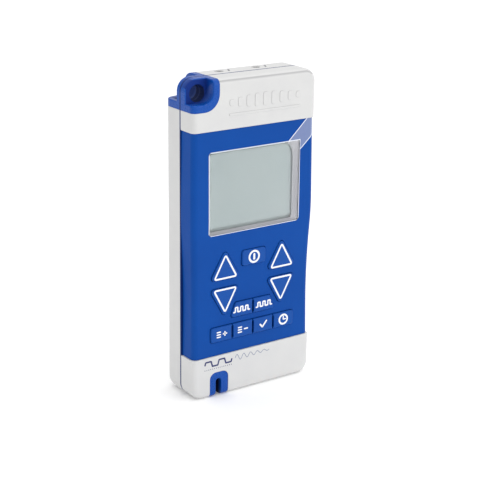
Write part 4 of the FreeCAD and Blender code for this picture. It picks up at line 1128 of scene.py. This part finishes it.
@dataclass
class Case(Assembly):
    """Shells, cover, eye, strap slot, door and the printing on them.

    Attributes:
        relief: How far printing stands proud, and how far it is let in.
        label_relief: The same for the label's printing.
        pulse_mm: Where the foot's bold pulse starts and ends, and its lower edge.
        pulse_rise_mm: The pulse's height.
        ripple_mm: Where the thin ripple starts and ends, and its middle line.
        ripple_rise_mm: The ripple's height at its start.
        ripple_fade: The share of it that is gone at its end.
        dots_mm: Where the row of dots starts and ends, and its middle line.
    """

    relief: Pair = (0.012 * MM, 0.05 * MM)
    label_relief: Pair = (0.008 * MM, 0.02 * MM)
    pulse_mm: tuple[float, float, float] = (-24.3, -10.8, 14.3)
    pulse_rise_mm: float = 2.3
    ripple_mm: tuple[float, float, float] = (-9.0, 8.6, 15.5)
    ripple_rise_mm: float = 1.35
    ripple_fade: float = 0.75
    dots_mm: tuple[float, float, float] = (-24.3, -11.0, 13.0)

    nodes: ClassVar[dict[str, str]] = {
        "front_shell": "silver_shell",
        "rear_shell": "silver_shell",
        "battery_door": "silver_shell",
        "front_cover": "blue_cover",
        "front_lanyard_eye": "blue_trim",
        "rear_lanyard_eye": "blue_trim",
        "strap_slot_insert": "blue_trim",
        "seam_gasket": "blue_gasket",
        "case_screws": "screw_steel",
        "rating_label": "label_film",
    }

    def build(self) -> None:
        """Print the foot graphic, the socket marks, the label's border and the door's arrow."""
        self.print_foot()
        self.print_socket_marks()
        self.print_label()
        self.mould_arrow()

    def print_foot(self) -> None:
        """Print a bold pulse, a fading thin ripple and a row of dots above the strap slot.

        The pulse is a sine of the distance, raised and cut flat at both ends of its height, and the
        ripple is a sine of the distance whose height fades in a straight line.
        """
        face = Face.front((0.0, Extent("strap_slot_insert").low[1], 0.0))
        start, end, level = self.pulse_mm
        x = np.linspace(start, end, 160)
        phase = (x - start) / (end - start) * 4.0 * math.pi
        z = level + self.pulse_rise_mm * np.clip(1.6 * np.sin(phase) + 0.5, 0.0, 1.0)
        pulse = Stroke(np.stack([x, z], axis=-1) * MM, 0.72 * MM)
        start, end, level = self.ripple_mm
        x = np.linspace(start, end, 220)
        share = (x - start) / (end - start)
        height = self.ripple_rise_mm * (1.0 - self.ripple_fade * share)
        z = level + height * np.sin(share * 10.0 * math.pi)
        ripple = Stroke(np.stack([x, z], axis=-1) * MM, 0.32 * MM)
        start, end, level = self.dots_mm
        ends_z = (level - 0.1, level + 0.1)
        dots = [drawn([[x, z] for z in ends_z], 0.3 * MM) for x in np.linspace(start, end, 15)]
        for name, strokes, ink in (
            ("foot_pulse_print", [pulse], "navy_ink"),
            ("foot_ripple_print", [ripple], "grey_ink"),
            ("foot_dots_print", dots, "navy_ink"),
        ):
            self.print_lines(name, strokes, face, self.relief, ink, "case", "silver_shell")

    def print_socket_marks(self) -> None:
        """Print a small slanting dash on the top end beside each lead socket."""
        face = Face((0.0, 0.0, Extent("front_shell").high[2]), (1.0, 0.0, 0.0), (0.0, 1.0, 0.0))
        marks = [
            drawn([[4.0, -1.6], [5.0, 0.6]], 0.8 * MM, shift=Extent(socket).middle[:2])
            for socket in ("left_output_socket", "right_output_socket")
        ]
        relief = (self.relief[0] / 3.0, self.relief[1])
        self.print_lines("socket_marks", marks, face, relief, "dark_ink", "case", "silver_shell")

    def print_label(self) -> None:
        """Print a double frame and three rules on the blank rating label."""
        label = Extent("rating_label")
        half = label.half[[0, 2]]
        signs = np.array([[-1.0, -1.0], [1.0, -1.0], [1.0, 1.0], [-1.0, 1.0]])
        lines = []
        for margin, width in ((1.2, 0.35), (2.1, 0.18)):
            outline = bend_corners(signs * (half - margin * MM), 2.0 * MM, True)
            lines.append(Stroke(outline, width * MM, True))
        reach = half[0] - 4.0 * MM
        for row in range(3):
            z = (-3.0 - 3.2 * row) * MM
            lines.append(Stroke(np.array([[-reach, z], [reach, z]]), 0.18 * MM))
        face = Face.back((label.middle[0], label.high[1], label.middle[2]))
        relief = self.label_relief
        self.print_lines("label_frame_print", lines, face, relief, "grey_ink", "case", "label_film")

    def mould_arrow(self) -> None:
        """Mould a small arrow into the door, pointing the way that it slides open."""
        door = Extent("battery_door")
        face = Face.back((0.0, door.high[1], door.high[2] - 16.0 * MM))
        arrow = drawn([[-4.2, 0.0], [0.0, -5.2], [4.2, 0.0]], 0.9 * MM, 0.8)
        body, slot = "battery_door", "silver_shell"
        self.print_lines("door_arrow", [arrow], face, self.relief, "grey_ink", body, slot)


class Legend(Enum):
    """What a key's printed sign shows."""

    UP = "up"
    DOWN = "down"
    POWER = "power"
    PULSES = "pulses"
    STEP_UP = "step up"
    STEP_DOWN = "step down"
    TICK = "tick"
    CLOCK = "clock"


@dataclass
class Keypad(Assembly):
    """Eleven keys with white signs, on their rubber mat.

    Attributes:
        relief: How far a sign stands proud of its key, and how far it is let in.
        line: Width of a sign's line.
        arrow_margins: How far an arrow stays off its key's base, apex and sides.
        signs: What each key shows.
    """

    relief: Pair = (0.02 * MM, 0.05 * MM)
    line: float = 0.75 * MM
    arrow_margins: tuple[float, float, float] = (1.2 * MM, 1.75 * MM, 1.65 * MM)

    signs: ClassVar[dict[str, Legend]] = {
        "left_up_key": Legend.UP,
        "right_up_key": Legend.UP,
        "left_down_key": Legend.DOWN,
        "right_down_key": Legend.DOWN,
        "power_key": Legend.POWER,
        "auto_left_key": Legend.PULSES,
        "auto_right_key": Legend.PULSES,
        "program_up_key": Legend.STEP_UP,
        "program_down_key": Legend.STEP_DOWN,
        "set_key": Legend.TICK,
        "timer_key": Legend.CLOCK,
    }
    nodes: ClassVar[dict[str, str]] = dict.fromkeys(signs, "key_blue") | {"key_mat": "grey_rubber"}

    def build(self) -> None:
        """Print every key's sign. Each one rides on its own key."""
        for key, legend in self.signs.items():
            cap = Extent(key)
            face = Face.front((cap.middle[0], cap.low[1], cap.middle[2]))
            lines = self.strokes(legend, cap.half[[0, 2]], key)
            self.print_lines(f"{key}_sign", lines, face, self.relief, "white_ink", key, "key_blue")

    def strokes(self, legend: Legend, half: Points, key: str) -> list[Stroke]:
        """Draw a sign about the key's middle.

        Args:
            legend: Which sign.
            half: Half the key's width and height.
            key: The key's name.

        Returns:
            The sign's lines.
        """
        if legend in (Legend.UP, Legend.DOWN):
            return [self.triangle(half, 1.0 if legend is Legend.UP else -1.0)]
        if legend is Legend.POWER:
            ring = Stroke(ring_path(2.43 * MM), 0.85 * MM, True)
            return [ring, drawn([[0.0, -0.95], [0.0, 0.95]], 1.0 * MM)]
        if legend is Legend.PULSES:
            return self.pulses(-0.35 * MM if "left" in key else 0.1 * MM)
        if legend is Legend.TICK:
            return [drawn([[-1.5, 0.1], [-0.35, -1.15], [1.7, 1.3]], self.line, 0.25)]
        if legend is Legend.CLOCK:
            ring = Stroke(ring_path(2.1 * MM), 0.8 * MM, True)
            return [ring, drawn([[0.0, 1.35], [0.0, 0.0], [1.15, 0.0]], 0.6 * MM, 0.12)]
        return self.step(legend is Legend.STEP_UP)

    def triangle(self, half: Points, point: float) -> Stroke:
        """Outline an arrow that keeps an even margin inside its key.

        Args:
            half: Half the key's width and height.
            point: 1 for up, -1 for down.

        Returns:
            The outline.
        """
        off_base, off_apex, off_side = self.arrow_margins
        base = (off_base - half[1]) * point
        apex = (half[1] - off_apex) * point
        wide = half[0] - off_side
        corners = np.array([[-wide, base], [wide, base], [0.0, apex]])
        return Stroke(bend_corners(corners, 1.1 * MM, True), self.line, True)

    def pulses(self, shift: float) -> list[Stroke]:
        """Draw a train of square pulses, the sign of an automatic programme.

        Args:
            shift: How far the sign stands from the key's middle.

        Returns:
            One line.
        """
        steps = [[-4.0, -1.0]]
        for start in (-3.2, -0.6, 2.0):
            steps += [[start, -1.0], [start, 1.0], [start + 1.2, 1.0], [start + 1.2, -1.0]]
        steps.append([4.0, -1.0])
        return [drawn(steps, 0.66 * MM, 0.3, shift=(shift, 0.0))]

    def step(self, up: bool) -> list[Stroke]:
        """Draw a short list with a plus or a minus beside it: next or last programme.

        Args:
            up: True for the plus.

        Returns:
            The lines.
        """
        lines = [drawn([[-2.3, z], [-0.7, z]], 0.58 * MM) for z in (-1.1, 0.0, 1.1)]
        lines.append(drawn([[0.8, 0.0], [2.4, 0.0]], 0.6 * MM))
        if up:
            lines.append(drawn([[1.6, -0.8], [1.6, 0.8]], 0.6 * MM))
        return lines


@dataclass
class Display(Assembly):
    """Window, display glass and what holds them.

    Attributes:
        outer: Corners and corner radii of the mask's outer outline, in millimetres.
        inner: The same of its inner outline.
        front: How far the outer outline lies behind the window's face.
        rear: How far the inner one does.
        thickness: The mask's thickness.
    """

    outer: tuple[float, ...] = (-22.4, 71.85, 22.45, 106.5, 1.4, 1.4, 1.4, 1.0)
    inner: tuple[float, ...] = (-22.2, 72.75, 20.35, 106.45, 1.4, 1.4, 7.5, 1.0)
    front: float = 0.6 * MM
    rear: float = 2.05 * MM
    thickness: float = 0.12 * MM

    nodes: ClassVar[dict[str, str]] = {
        "display_window": "clear_window",
        "lcd_glass": "lcd_glass",
        "lcd_frame": "pale_frame",
        "lcd_reflector": "reflector_film",
        "lcd_contact_strip": "grey_rubber",
    }

    def build(self) -> None:
        """Lay the pale mask into the window. It hides the display's edge on the right and below.

        The mask is a ring that slopes back from its outer outline to its inner one. Both have the
        same number of points: its grid runs round the ring one way and round the section the other.
        """
        face = Extent("display_window").low[1]
        loops = []
        for x0, z0, x1, z1, *radii in (self.inner, self.outer):
            corners = np.array([[x0, z0], [x1, z0], [x1, z1], [x0, z1]]) * MM
            loops.append(bend_corners(corners, np.array(radii)[:, None] * MM, True, 12))
        inner, outer = loops
        depth = face + np.array([self.rear, self.front, self.front, self.rear])
        depth[2:] += self.thickness
        flat = np.stack([inner, outer, outer, inner], axis=1)
        y = np.broadcast_to(depth, flat.shape[:2])
        points = np.stack([flat[..., 0], y, flat[..., 1]], axis=-1)
        skin = (points.reshape(-1, 3), list(grid_quads(len(inner), len(depth), True, True)))
        add_piece("display_mask", skin, self.paints["mask_film"], "case", False)


class Electronics(Assembly):
    """Boards and what is soldered to them, and the lead sockets."""

    nodes: ClassVar[dict[str, str]] = {
        "main_board": "board_laminate",
        "key_board": "board_laminate",
        "board_link_flex": "flex_film",
        "processor": "black_package",
        "output_drivers": "black_package",
        "buzzer": "black_package",
        "crystal_can": "bright_can",
        "storage_capacitors": "capacitor_sleeve",
        "boost_inductor": "ferrite",
        "left_transformer_core": "ferrite",
        "right_transformer_core": "ferrite",
        "left_transformer_coil": "winding",
        "right_transformer_coil": "winding",
        "left_output_socket": "socket_plastic",
        "right_output_socket": "socket_plastic",
        "socket_contacts": "contact_metal",
    }


@dataclass(frozen=True)
class CellSizes:
    """Sizes of a round cell, in metres, and shares of its radius.

    Attributes:
        nub_radius: Radius of the raised end contact.
        nub_height: Its height.
        shoulder: Radius of the sleeve's rolled ends.
        crimp: Depth of the groove behind a rolled end.
        groove: Where that groove starts, is deepest and ends, from the end.
        dish: Depth of the dished flat end.
        dish_rim: Where the dish starts and ends, as shares of the radius.
        collar: Where the sleeve's other end steps down to the nub's collar, the same way.
        core: Radius of the small flat at the axis.
        steps: Points round the cell.
    """

    nub_radius: float = 2.6 * MM
    nub_height: float = 1.3 * MM
    shoulder: float = 0.55 * MM
    crimp: float = 0.12 * MM
    groove: tuple[float, float, float] = (1.6 * MM, 2.0 * MM, 2.4 * MM)
    dish: float = 0.25 * MM
    dish_rim: Pair = (0.62, 0.68)
    collar: Pair = (0.72, 0.66)
    core: float = 0.2 * MM
    steps: int = 72


@dataclass
class BatteryBay(Assembly):
    """Two round cells, their springs and contact plates.

    Attributes:
        cell: Sizes of a cell.
        wire: Radius of the springs' wire.
        turns: Number of a spring's turns.
        flat_turns: How many of them lie flat at each end.
        taper: The share of its radius that a spring loses to its narrow end.
        sway: How unevenly its height rises.
    """

    cell: CellSizes = CellSizes()
    wire: float = 0.34 * MM
    turns: float = 6.0
    flat_turns: float = 0.8
    taper: float = 0.34
    sway: float = 0.12

    nodes: ClassVar[dict[str, str]] = {
        "link_contact_plate": "contact_metal",
        "positive_contact_plate": "contact_metal",
        "negative_contact_plate": "contact_metal",
    }

    def build(self) -> None:
        """Add both cells and both springs."""
        for side, up in (("left", True), ("right", False)):
            self.add_cell(f"{side}_cell", up)
            self.add_spring(f"{side}_cell_spring", not up)

    def add_cell(self, node: str, nub_up: bool) -> None:
        """Turn a cell on the lathe and let it stand for its plain CAD solid.

        The half outline runs from the flat end, round a rolled edge, along the sleeve with a
        shallow groove near each end, round the shoulder and up over the nub.

        Args:
            node: The CAD node.
            nub_up: Whether the raised contact is at the top.
        """
        box = Extent(node)
        radius = box.half[0]
        length = box.high[2] - box.low[2]
        size = self.cell
        top = length - size.nub_height
        start, deepest, end = size.groove
        corners = np.array(
            [
                [size.core, size.dish],
                [radius * size.dish_rim[0], size.dish],
                [radius * size.dish_rim[1], 0.0],
                [radius, 0.0],
                [radius, start],
                [radius - size.crimp, deepest],
                [radius, end],
                [radius, top - end],
                [radius - size.crimp, top - deepest],
                [radius, top - start],
                [radius, top],
                [radius * size.collar[0], top],
                [radius * size.collar[1], top - 0.3 * MM],
                [size.nub_radius, top - 0.2 * MM],
                [size.nub_radius, length],
                [size.core, length],
            ]
        )
        profile = bend_corners(corners, size.shoulder, False, 5)
        heights = profile[:, 1] if nub_up else length - profile[:, 1]
        profile = np.stack([profile[:, 0], heights + box.low[2]], axis=-1)
        skin = lathe(profile, tuple(box.middle[:2]), size.steps)
        paint = self.paints["cell_up" if nub_up else "cell_down"]
        piece = add_piece(f"{node}_turned", skin, paint, "case")
        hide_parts(node)

    def add_spring(self, node: str, wide_below: bool) -> None:
        """Wind a cone spring and let it stand for its CAD solid.

        The wire's middle is at angle t, height z(t) and radius R(t). Both ends lie nearly flat,
        between them the height rises, and the radius narrows in a straight line all the way. Round
        it, a circle of the wire's radius is spanned by the outward and the upward direction.

        Args:
            node: The CAD node.
            wide_below: Whether the wide end is at the bottom.
        """
        box = Extent(node)
        wire = self.wire
        outer = box.half[0] - wire
        tall = box.high[2] - box.low[2] - 2.0 * wire
        share = np.linspace(0.0, 1.0, 300)
        rising = self.turns - 2.0 * self.flat_turns
        rise = np.clip((share * self.turns - self.flat_turns) / rising, 0.0, 1.0)
        rise = rise + self.sway * np.sin(math.pi * share) * (share - 0.5)
        narrow = outer * (1.0 - self.taper * share)
        angle = share * self.turns * FULL_TURN
        height = box.low[2] + wire + tall * (rise if wide_below else 1.0 - rise)
        outward = np.stack([np.cos(angle), np.sin(angle), np.zeros_like(angle)], axis=-1)
        middle = outward * narrow[:, None]
        middle[:, :2] += box.middle[:2]
        middle[:, 2] = height
        turn = np.linspace(0.0, FULL_TURN, 10, endpoint=False)[:, None]
        circle = outward[:, None] * np.cos(turn) + np.array([0.0, 0.0, 1.0]) * np.sin(turn)
        points = (middle[:, None] + wire * circle).reshape(-1, 3)
        skin = (points, capped_quads(len(share), len(turn)))
        piece = add_piece(f"{node}_wound", skin, self.paints["spring_wire"], "case")
        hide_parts(node)


# ---------------------------------------------------------------- studio


@dataclass(frozen=True)
class Softbox:
    """A large soft lamp.

    Attributes:
        name: The lamp's name.
        place: Where it stands.
        size: Its side length.
        power: Its power in watts.
    """

    name: str
    place: tuple[float, float, float]
    size: float
    power: float

    def hang(self, target: Vector) -> None:
        """Hang the lamp and turn it to the target.

        Args:
            target: The point that it faces.
        """
        lamp = bpy.data.lights.new(self.name, "AREA")
        lamp.shape = "SQUARE"
        lamp.size = self.size
        lamp.energy = self.power
        holder = bpy.data.objects.new(self.name, lamp)
        holder.location = self.place
        aim = target - Vector(self.place)
        holder.rotation_euler = aim.to_track_quat("-Z", "Y").to_euler()
        bpy.context.scene.collection.objects.link(holder)


@dataclass(frozen=True)
class Studio:
    """Pale table, soft light and camera.

    Attributes:
        camera_place: Where the camera stands.
        azimuth: Its bearing round the object, in degrees.
        elevation: Its height over the table, in degrees.
        roll: Its tilt to the side, in degrees.
        lens: Its focal length in millimetres.
        sensor: Its sensor's width in millimetres.
        floor_half: Half the table's side.
        table_glow: Strength of the light that comes up through the table's sheet.
        bright_side: Unit vector towards the brightest part of the surrounding light.
        sky: Brightness of the surrounding light there.
        sky_dim: Its brightness on the opposite side.
        lamps: The softboxes.
        aim: The point that they face.
    """

    camera_place: tuple[float, float, float] = (-0.29554, -0.42918, 0.23334)
    azimuth: float = -34.58
    elevation: float = 18.05
    roll: float = 0.70
    lens: float = 96.975
    sensor: float = 36.0
    floor_half: float = 6.0
    table_glow: float = 0.07
    bright_side: tuple[float, float, float] = (0.48, -0.36, 0.8)
    sky: float = 1.1
    sky_dim: float = 0.4
    lamps: tuple[Softbox, ...] = (
        Softbox("key_softbox", (0.75, -1.05, 0.55), 0.8, 2.4),
        Softbox("top_softbox", (0.1, 0.1, 1.5), 1.2, 5.0),
    )
    aim: tuple[float, float, float] = (0.0, 0.0, 0.07)

    def set_up(self) -> None:
        """Lay the table, hang the lamps and place the camera."""
        self.lay_table()
        self.light_room()
        self.place_camera()

    def lay_table(self) -> None:
        """Lay a large pale sheet, faintly lit from below, under the object."""
        signs = ((-1.0, -1.0, 0.0), (1.0, -1.0, 0.0), (1.0, 1.0, 0.0), (-1.0, 1.0, 0.0))
        corners = np.array(signs) * self.floor_half
        mesh = bpy.data.meshes.new("table")
        mesh.from_pydata(corners.tolist(), [], [[0, 1, 2, 3]])
        bench = Bench("table_paper")
        fibre = bench.noise(3.0 * MM, 4.0)
        shader = bench.shade(
            Base_Color=bench.blend(fibre, srgb(253, 253, 254), srgb(255, 255, 255)),
            Roughness=bench.vary(fibre, (0.6, 0.75)),
            Specular_IOR_Level=0.2,
            Emission_Color=(1.0, 1.0, 1.0),
            Emission_Strength=self.table_glow,
        )
        mesh.materials.append(bench.finish(shader))
        table = bpy.data.objects.new("table", mesh)
        bpy.context.scene.collection.objects.link(table)

    def light_room(self) -> None:
        """Set the surrounding light and hang every lamp."""
        world = bpy.data.worlds.new("studio")
        world.use_nodes = True
        tree = world.node_tree
        background = tree.nodes["Background"]
        background.inputs["Color"].default_value = (1.0, 1.0, 1.0, 1.0)
        direction = tree.nodes.new("ShaderNodeTexCoord").outputs["Generated"]
        facing = tree.nodes.new("ShaderNodeVectorMath")
        facing.operation = "DOT_PRODUCT"
        facing.inputs[1].default_value = self.bright_side
        strength = tree.nodes.new("ShaderNodeMapRange")
        strength.inputs["From Min"].default_value = -1.0
        strength.inputs["To Min"].default_value = self.sky_dim
        strength.inputs["To Max"].default_value = self.sky
        tree.links.new(direction, facing.inputs[0])
        tree.links.new(facing.outputs["Value"], strength.inputs["Value"])
        tree.links.new(strength.outputs["Result"], background.inputs["Strength"])
        scene = bpy.context.scene
        scene.world = world
        scene.view_settings.view_transform = "Standard"
        for lamp in self.lamps:
            lamp.hang(Vector(self.aim))

    def place_camera(self) -> None:
        """Place the camera from its bearing, height and roll.

        With bearing a and height e, it looks back along b = (sin a cos e, -cos a cos e, sin e). Its
        right is (cos a, sin a, 0), its up is b x right, and both are turned by the roll.
        """
        bearing, height, roll = (math.radians(a) for a in (self.azimuth, self.elevation, self.roll))
        back = Vector(
            (
                math.sin(bearing) * math.cos(height),
                -math.cos(bearing) * math.cos(height),
                math.sin(height),
            )
        )
        right = Vector((math.cos(bearing), math.sin(bearing), 0.0))
        up = back.cross(right)
        turned_right = right * math.cos(roll) + up * math.sin(roll)
        turned_up = up * math.cos(roll) - right * math.sin(roll)
        turn = Matrix((turned_right, turned_up, back)).transposed().to_4x4()
        data = bpy.data.cameras.new("camera")
        data.sensor_width = self.sensor
        data.lens = self.lens
        camera = bpy.data.objects.new("camera", data)
        camera.matrix_world = Matrix.Translation(self.camera_place) @ turn
        bpy.context.scene.collection.objects.link(camera)
        bpy.context.scene.camera = camera


# ---------------------------------------------------------------- finish list


def finish_list() -> dict[str, bpy.types.Material]:
    """Make every finish once.

    Returns:
        Materials by finish name.
    """
    left, right = Extent("left_cell"), Extent("right_cell")
    cell = {
        "main": srgb(38, 96, 74),
        "stripe": srgb(222, 226, 224),
        "pale": srgb(176, 180, 182),
        "metal": srgb(196, 196, 192),
    }
    nub = CellSizes().nub_height
    # Painted shade on the keys' sides below the cover's face, in the gaps around each key.
    gap = Hollow((-40.0, -10.62, 0.0), (40.0, 0.0, 140.0), 0.4, 0.3, srgb(8, 50, 126))
    # Painted shade deepening into the lanyard eye's front pocket.
    pocket_shade = Hollow((-30.0, -10.5, 126.3), (-20.5, 0.0, 135.6), 5.2, 0.7, srgb(2, 26, 104))
    # Painted shade inside the lanyard eye's bore.
    hole_shade = Hollow((-28.22, -5.2, 126.58), (-21.18, 1.2, 133.62), 0.2, 0.8, srgb(10, 24, 62))
    # Painted shade in the eye's rear pocket, seen through the bore.
    rear_pocket_shade = Hollow((-28.2, -2.0, 126.3), (-20.5, 11.2, 133.8), 5.0, 0.75, srgb(6, 24, 74))
    # Painted dark reflection line along the top front rounding.
    crown_shade = Hollow((-40.0, -10.98, 133.5), (40.0, -10.2, 137.0), 0.3, 0.6, srgb(150, 150, 152))
    # Painted shade on the raised emblem bars' sloping sides, which outlines them.
    crease = Hollow((-15.0, -11.24, 119.0), (25.0, -11.06, 131.0), 0.05, 0.4, srgb(140, 140, 142))
    # Painted shade deep inside the strap slot, nearly black.
    slot = Hollow((-18.85, -10.7, -1.0), (-16.0, 0.0, 8.1), 2.4, 0.95, srgb(4, 8, 24))
    silver = (srgb(213, 213, 212), srgb(208, 208, 208))
    trim = (srgb(8, 78, 168), srgb(6, 71, 157))
    key = (srgb(15, 79, 162), srgb(12, 74, 154))
    film = (srgb(224, 226, 222), srgb(214, 216, 212))
    label = (srgb(232, 232, 230), srgb(222, 222, 220))
    rubber = (srgb(128, 130, 134), srgb(112, 114, 118))
    flex = (srgb(176, 104, 34), srgb(150, 84, 26))
    sleeve = (srgb(30, 44, 92), srgb(24, 34, 74))
    plastic = (srgb(196, 197, 200), srgb(184, 185, 188))
    wire = (srgb(204, 203, 198), srgb(150, 146, 138))
    # The blue trim's painted shades, in the strap slot and the lanyard eye.
    eye = (slot, pocket_shade, hole_shade, rear_pocket_shade)
    finishes = [
        Moulded("silver_shell", *silver, 0.16, 0.004, (0.34, 0.46), 0.4, 0.1, (crown_shade, crease)),
        Moulded("blue_cover", srgb(12, 76, 159), srgb(9, 70, 150), 0.45, 0.018, (0.45, 0.6), 0.12),
        Moulded("blue_trim", *trim, 0.35, 0.006, (0.24, 0.34), 0.25, hollows=eye),
        Moulded("blue_gasket", srgb(4, 44, 108), srgb(3, 38, 94), 0.3, 0.006, (0.45, 0.55), 0.2),
        Moulded("key_blue", *key, 0.4, 0.014, (0.42, 0.56), 0.2, hollows=(gap,)),
        Moulded("pale_frame", srgb(206, 204, 214), srgb(196, 194, 205), 0.3, 0.004, (0.3, 0.42)),
        Moulded("mask_film", srgb(240, 238, 244), srgb(232, 230, 238), 0.3, 0.003, (0.25, 0.36)),
        Moulded("reflector_film", *film, 0.4, 0.003, (0.18, 0.3)),
        Moulded("label_film", *label, 0.5, 0.004, (0.3, 0.42), 0.5, 0.2),
        Moulded("grey_rubber", *rubber, 0.4, 0.02, (0.55, 0.7), 0.3),
        Moulded("flex_film", *flex, 0.5, 0.01, (0.18, 0.3), 0.5, 0.3),
        Moulded("black_package", srgb(34, 34, 36), srgb(26, 26, 28), 0.12, 0.008, (0.45, 0.6)),
        Moulded("ferrite", srgb(62, 60, 60), srgb(48, 46, 46), 0.3, 0.03, (0.5, 0.68)),
        Moulded("capacitor_sleeve", *sleeve, 0.6, 0.01, (0.22, 0.34), 0.5, 0.3),
        Moulded("socket_plastic", *plastic, 0.3, 0.01, (0.35, 0.48)),
        Wound("winding", srgb(206, 128, 66), srgb(96, 50, 24), 0.35, "Z", 0.6),
        Laminate("board_laminate", srgb(24, 92, 58), srgb(46, 128, 84)),
        # Its last colour is the painted shadow along the glass's right edge.
        LiquidCrystal("lcd_glass", srgb(219, 231, 231), srgb(213, 227, 227), srgb(176, 177, 192)),
        Metal("screw_steel", srgb(188, 188, 186), srgb(140, 138, 134), drawn=(1.0, 0.1, 1.0)),
        Metal("bright_can", srgb(206, 206, 204), srgb(170, 168, 164), (0.15, 0.28)),
        Metal("contact_metal", srgb(208, 205, 196), srgb(160, 152, 136), (0.2, 0.36)),
        Metal("spring_wire", *wire, (0.18, 0.34), (1.0, 1.0, 1.0)),
        Ink("white_ink", srgb(250, 250, 250), srgb(240, 242, 246)),
        Ink("navy_ink", srgb(30, 38, 92), srgb(46, 54, 110)),
        Ink("grey_ink", srgb(128, 136, 158), srgb(146, 152, 170)),
        Ink("dark_ink", srgb(70, 72, 84), srgb(92, 94, 104)),
        Jacket("cell_up", bottom=left.low[2], top=left.high[2] - nub, **cell),
        Jacket("cell_down", bottom=right.high[2], top=right.low[2] + nub, **cell),
        ClearPane(
            "clear_window",
            tint=srgb(252, 253, 253),
            arm=srgb(104, 124, 172),
            arm_shade=srgb(92, 110, 162),
            # Pale rim colour, also used for the painted highlight lines along the arm's edges.
            edge=srgb(226, 231, 242),
        ),
    ]
    return {finish.name: finish.make() for finish in finishes}


def main() -> None:
    """Build every sub-assembly in order, then the studio."""
    logging.basicConfig(level=logging.INFO, format="%(name)s: %(message)s")
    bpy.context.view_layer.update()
    paints = finish_list()
    for assembly in (Case, Keypad, Display, Electronics, BatteryBay):
        group = assembly(paints)
        group.dress()
        group.build()
        LOG.info("%s is ready", assembly.__name__)
    Studio().set_up()
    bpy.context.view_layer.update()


if __name__ == "__main__":
    main()
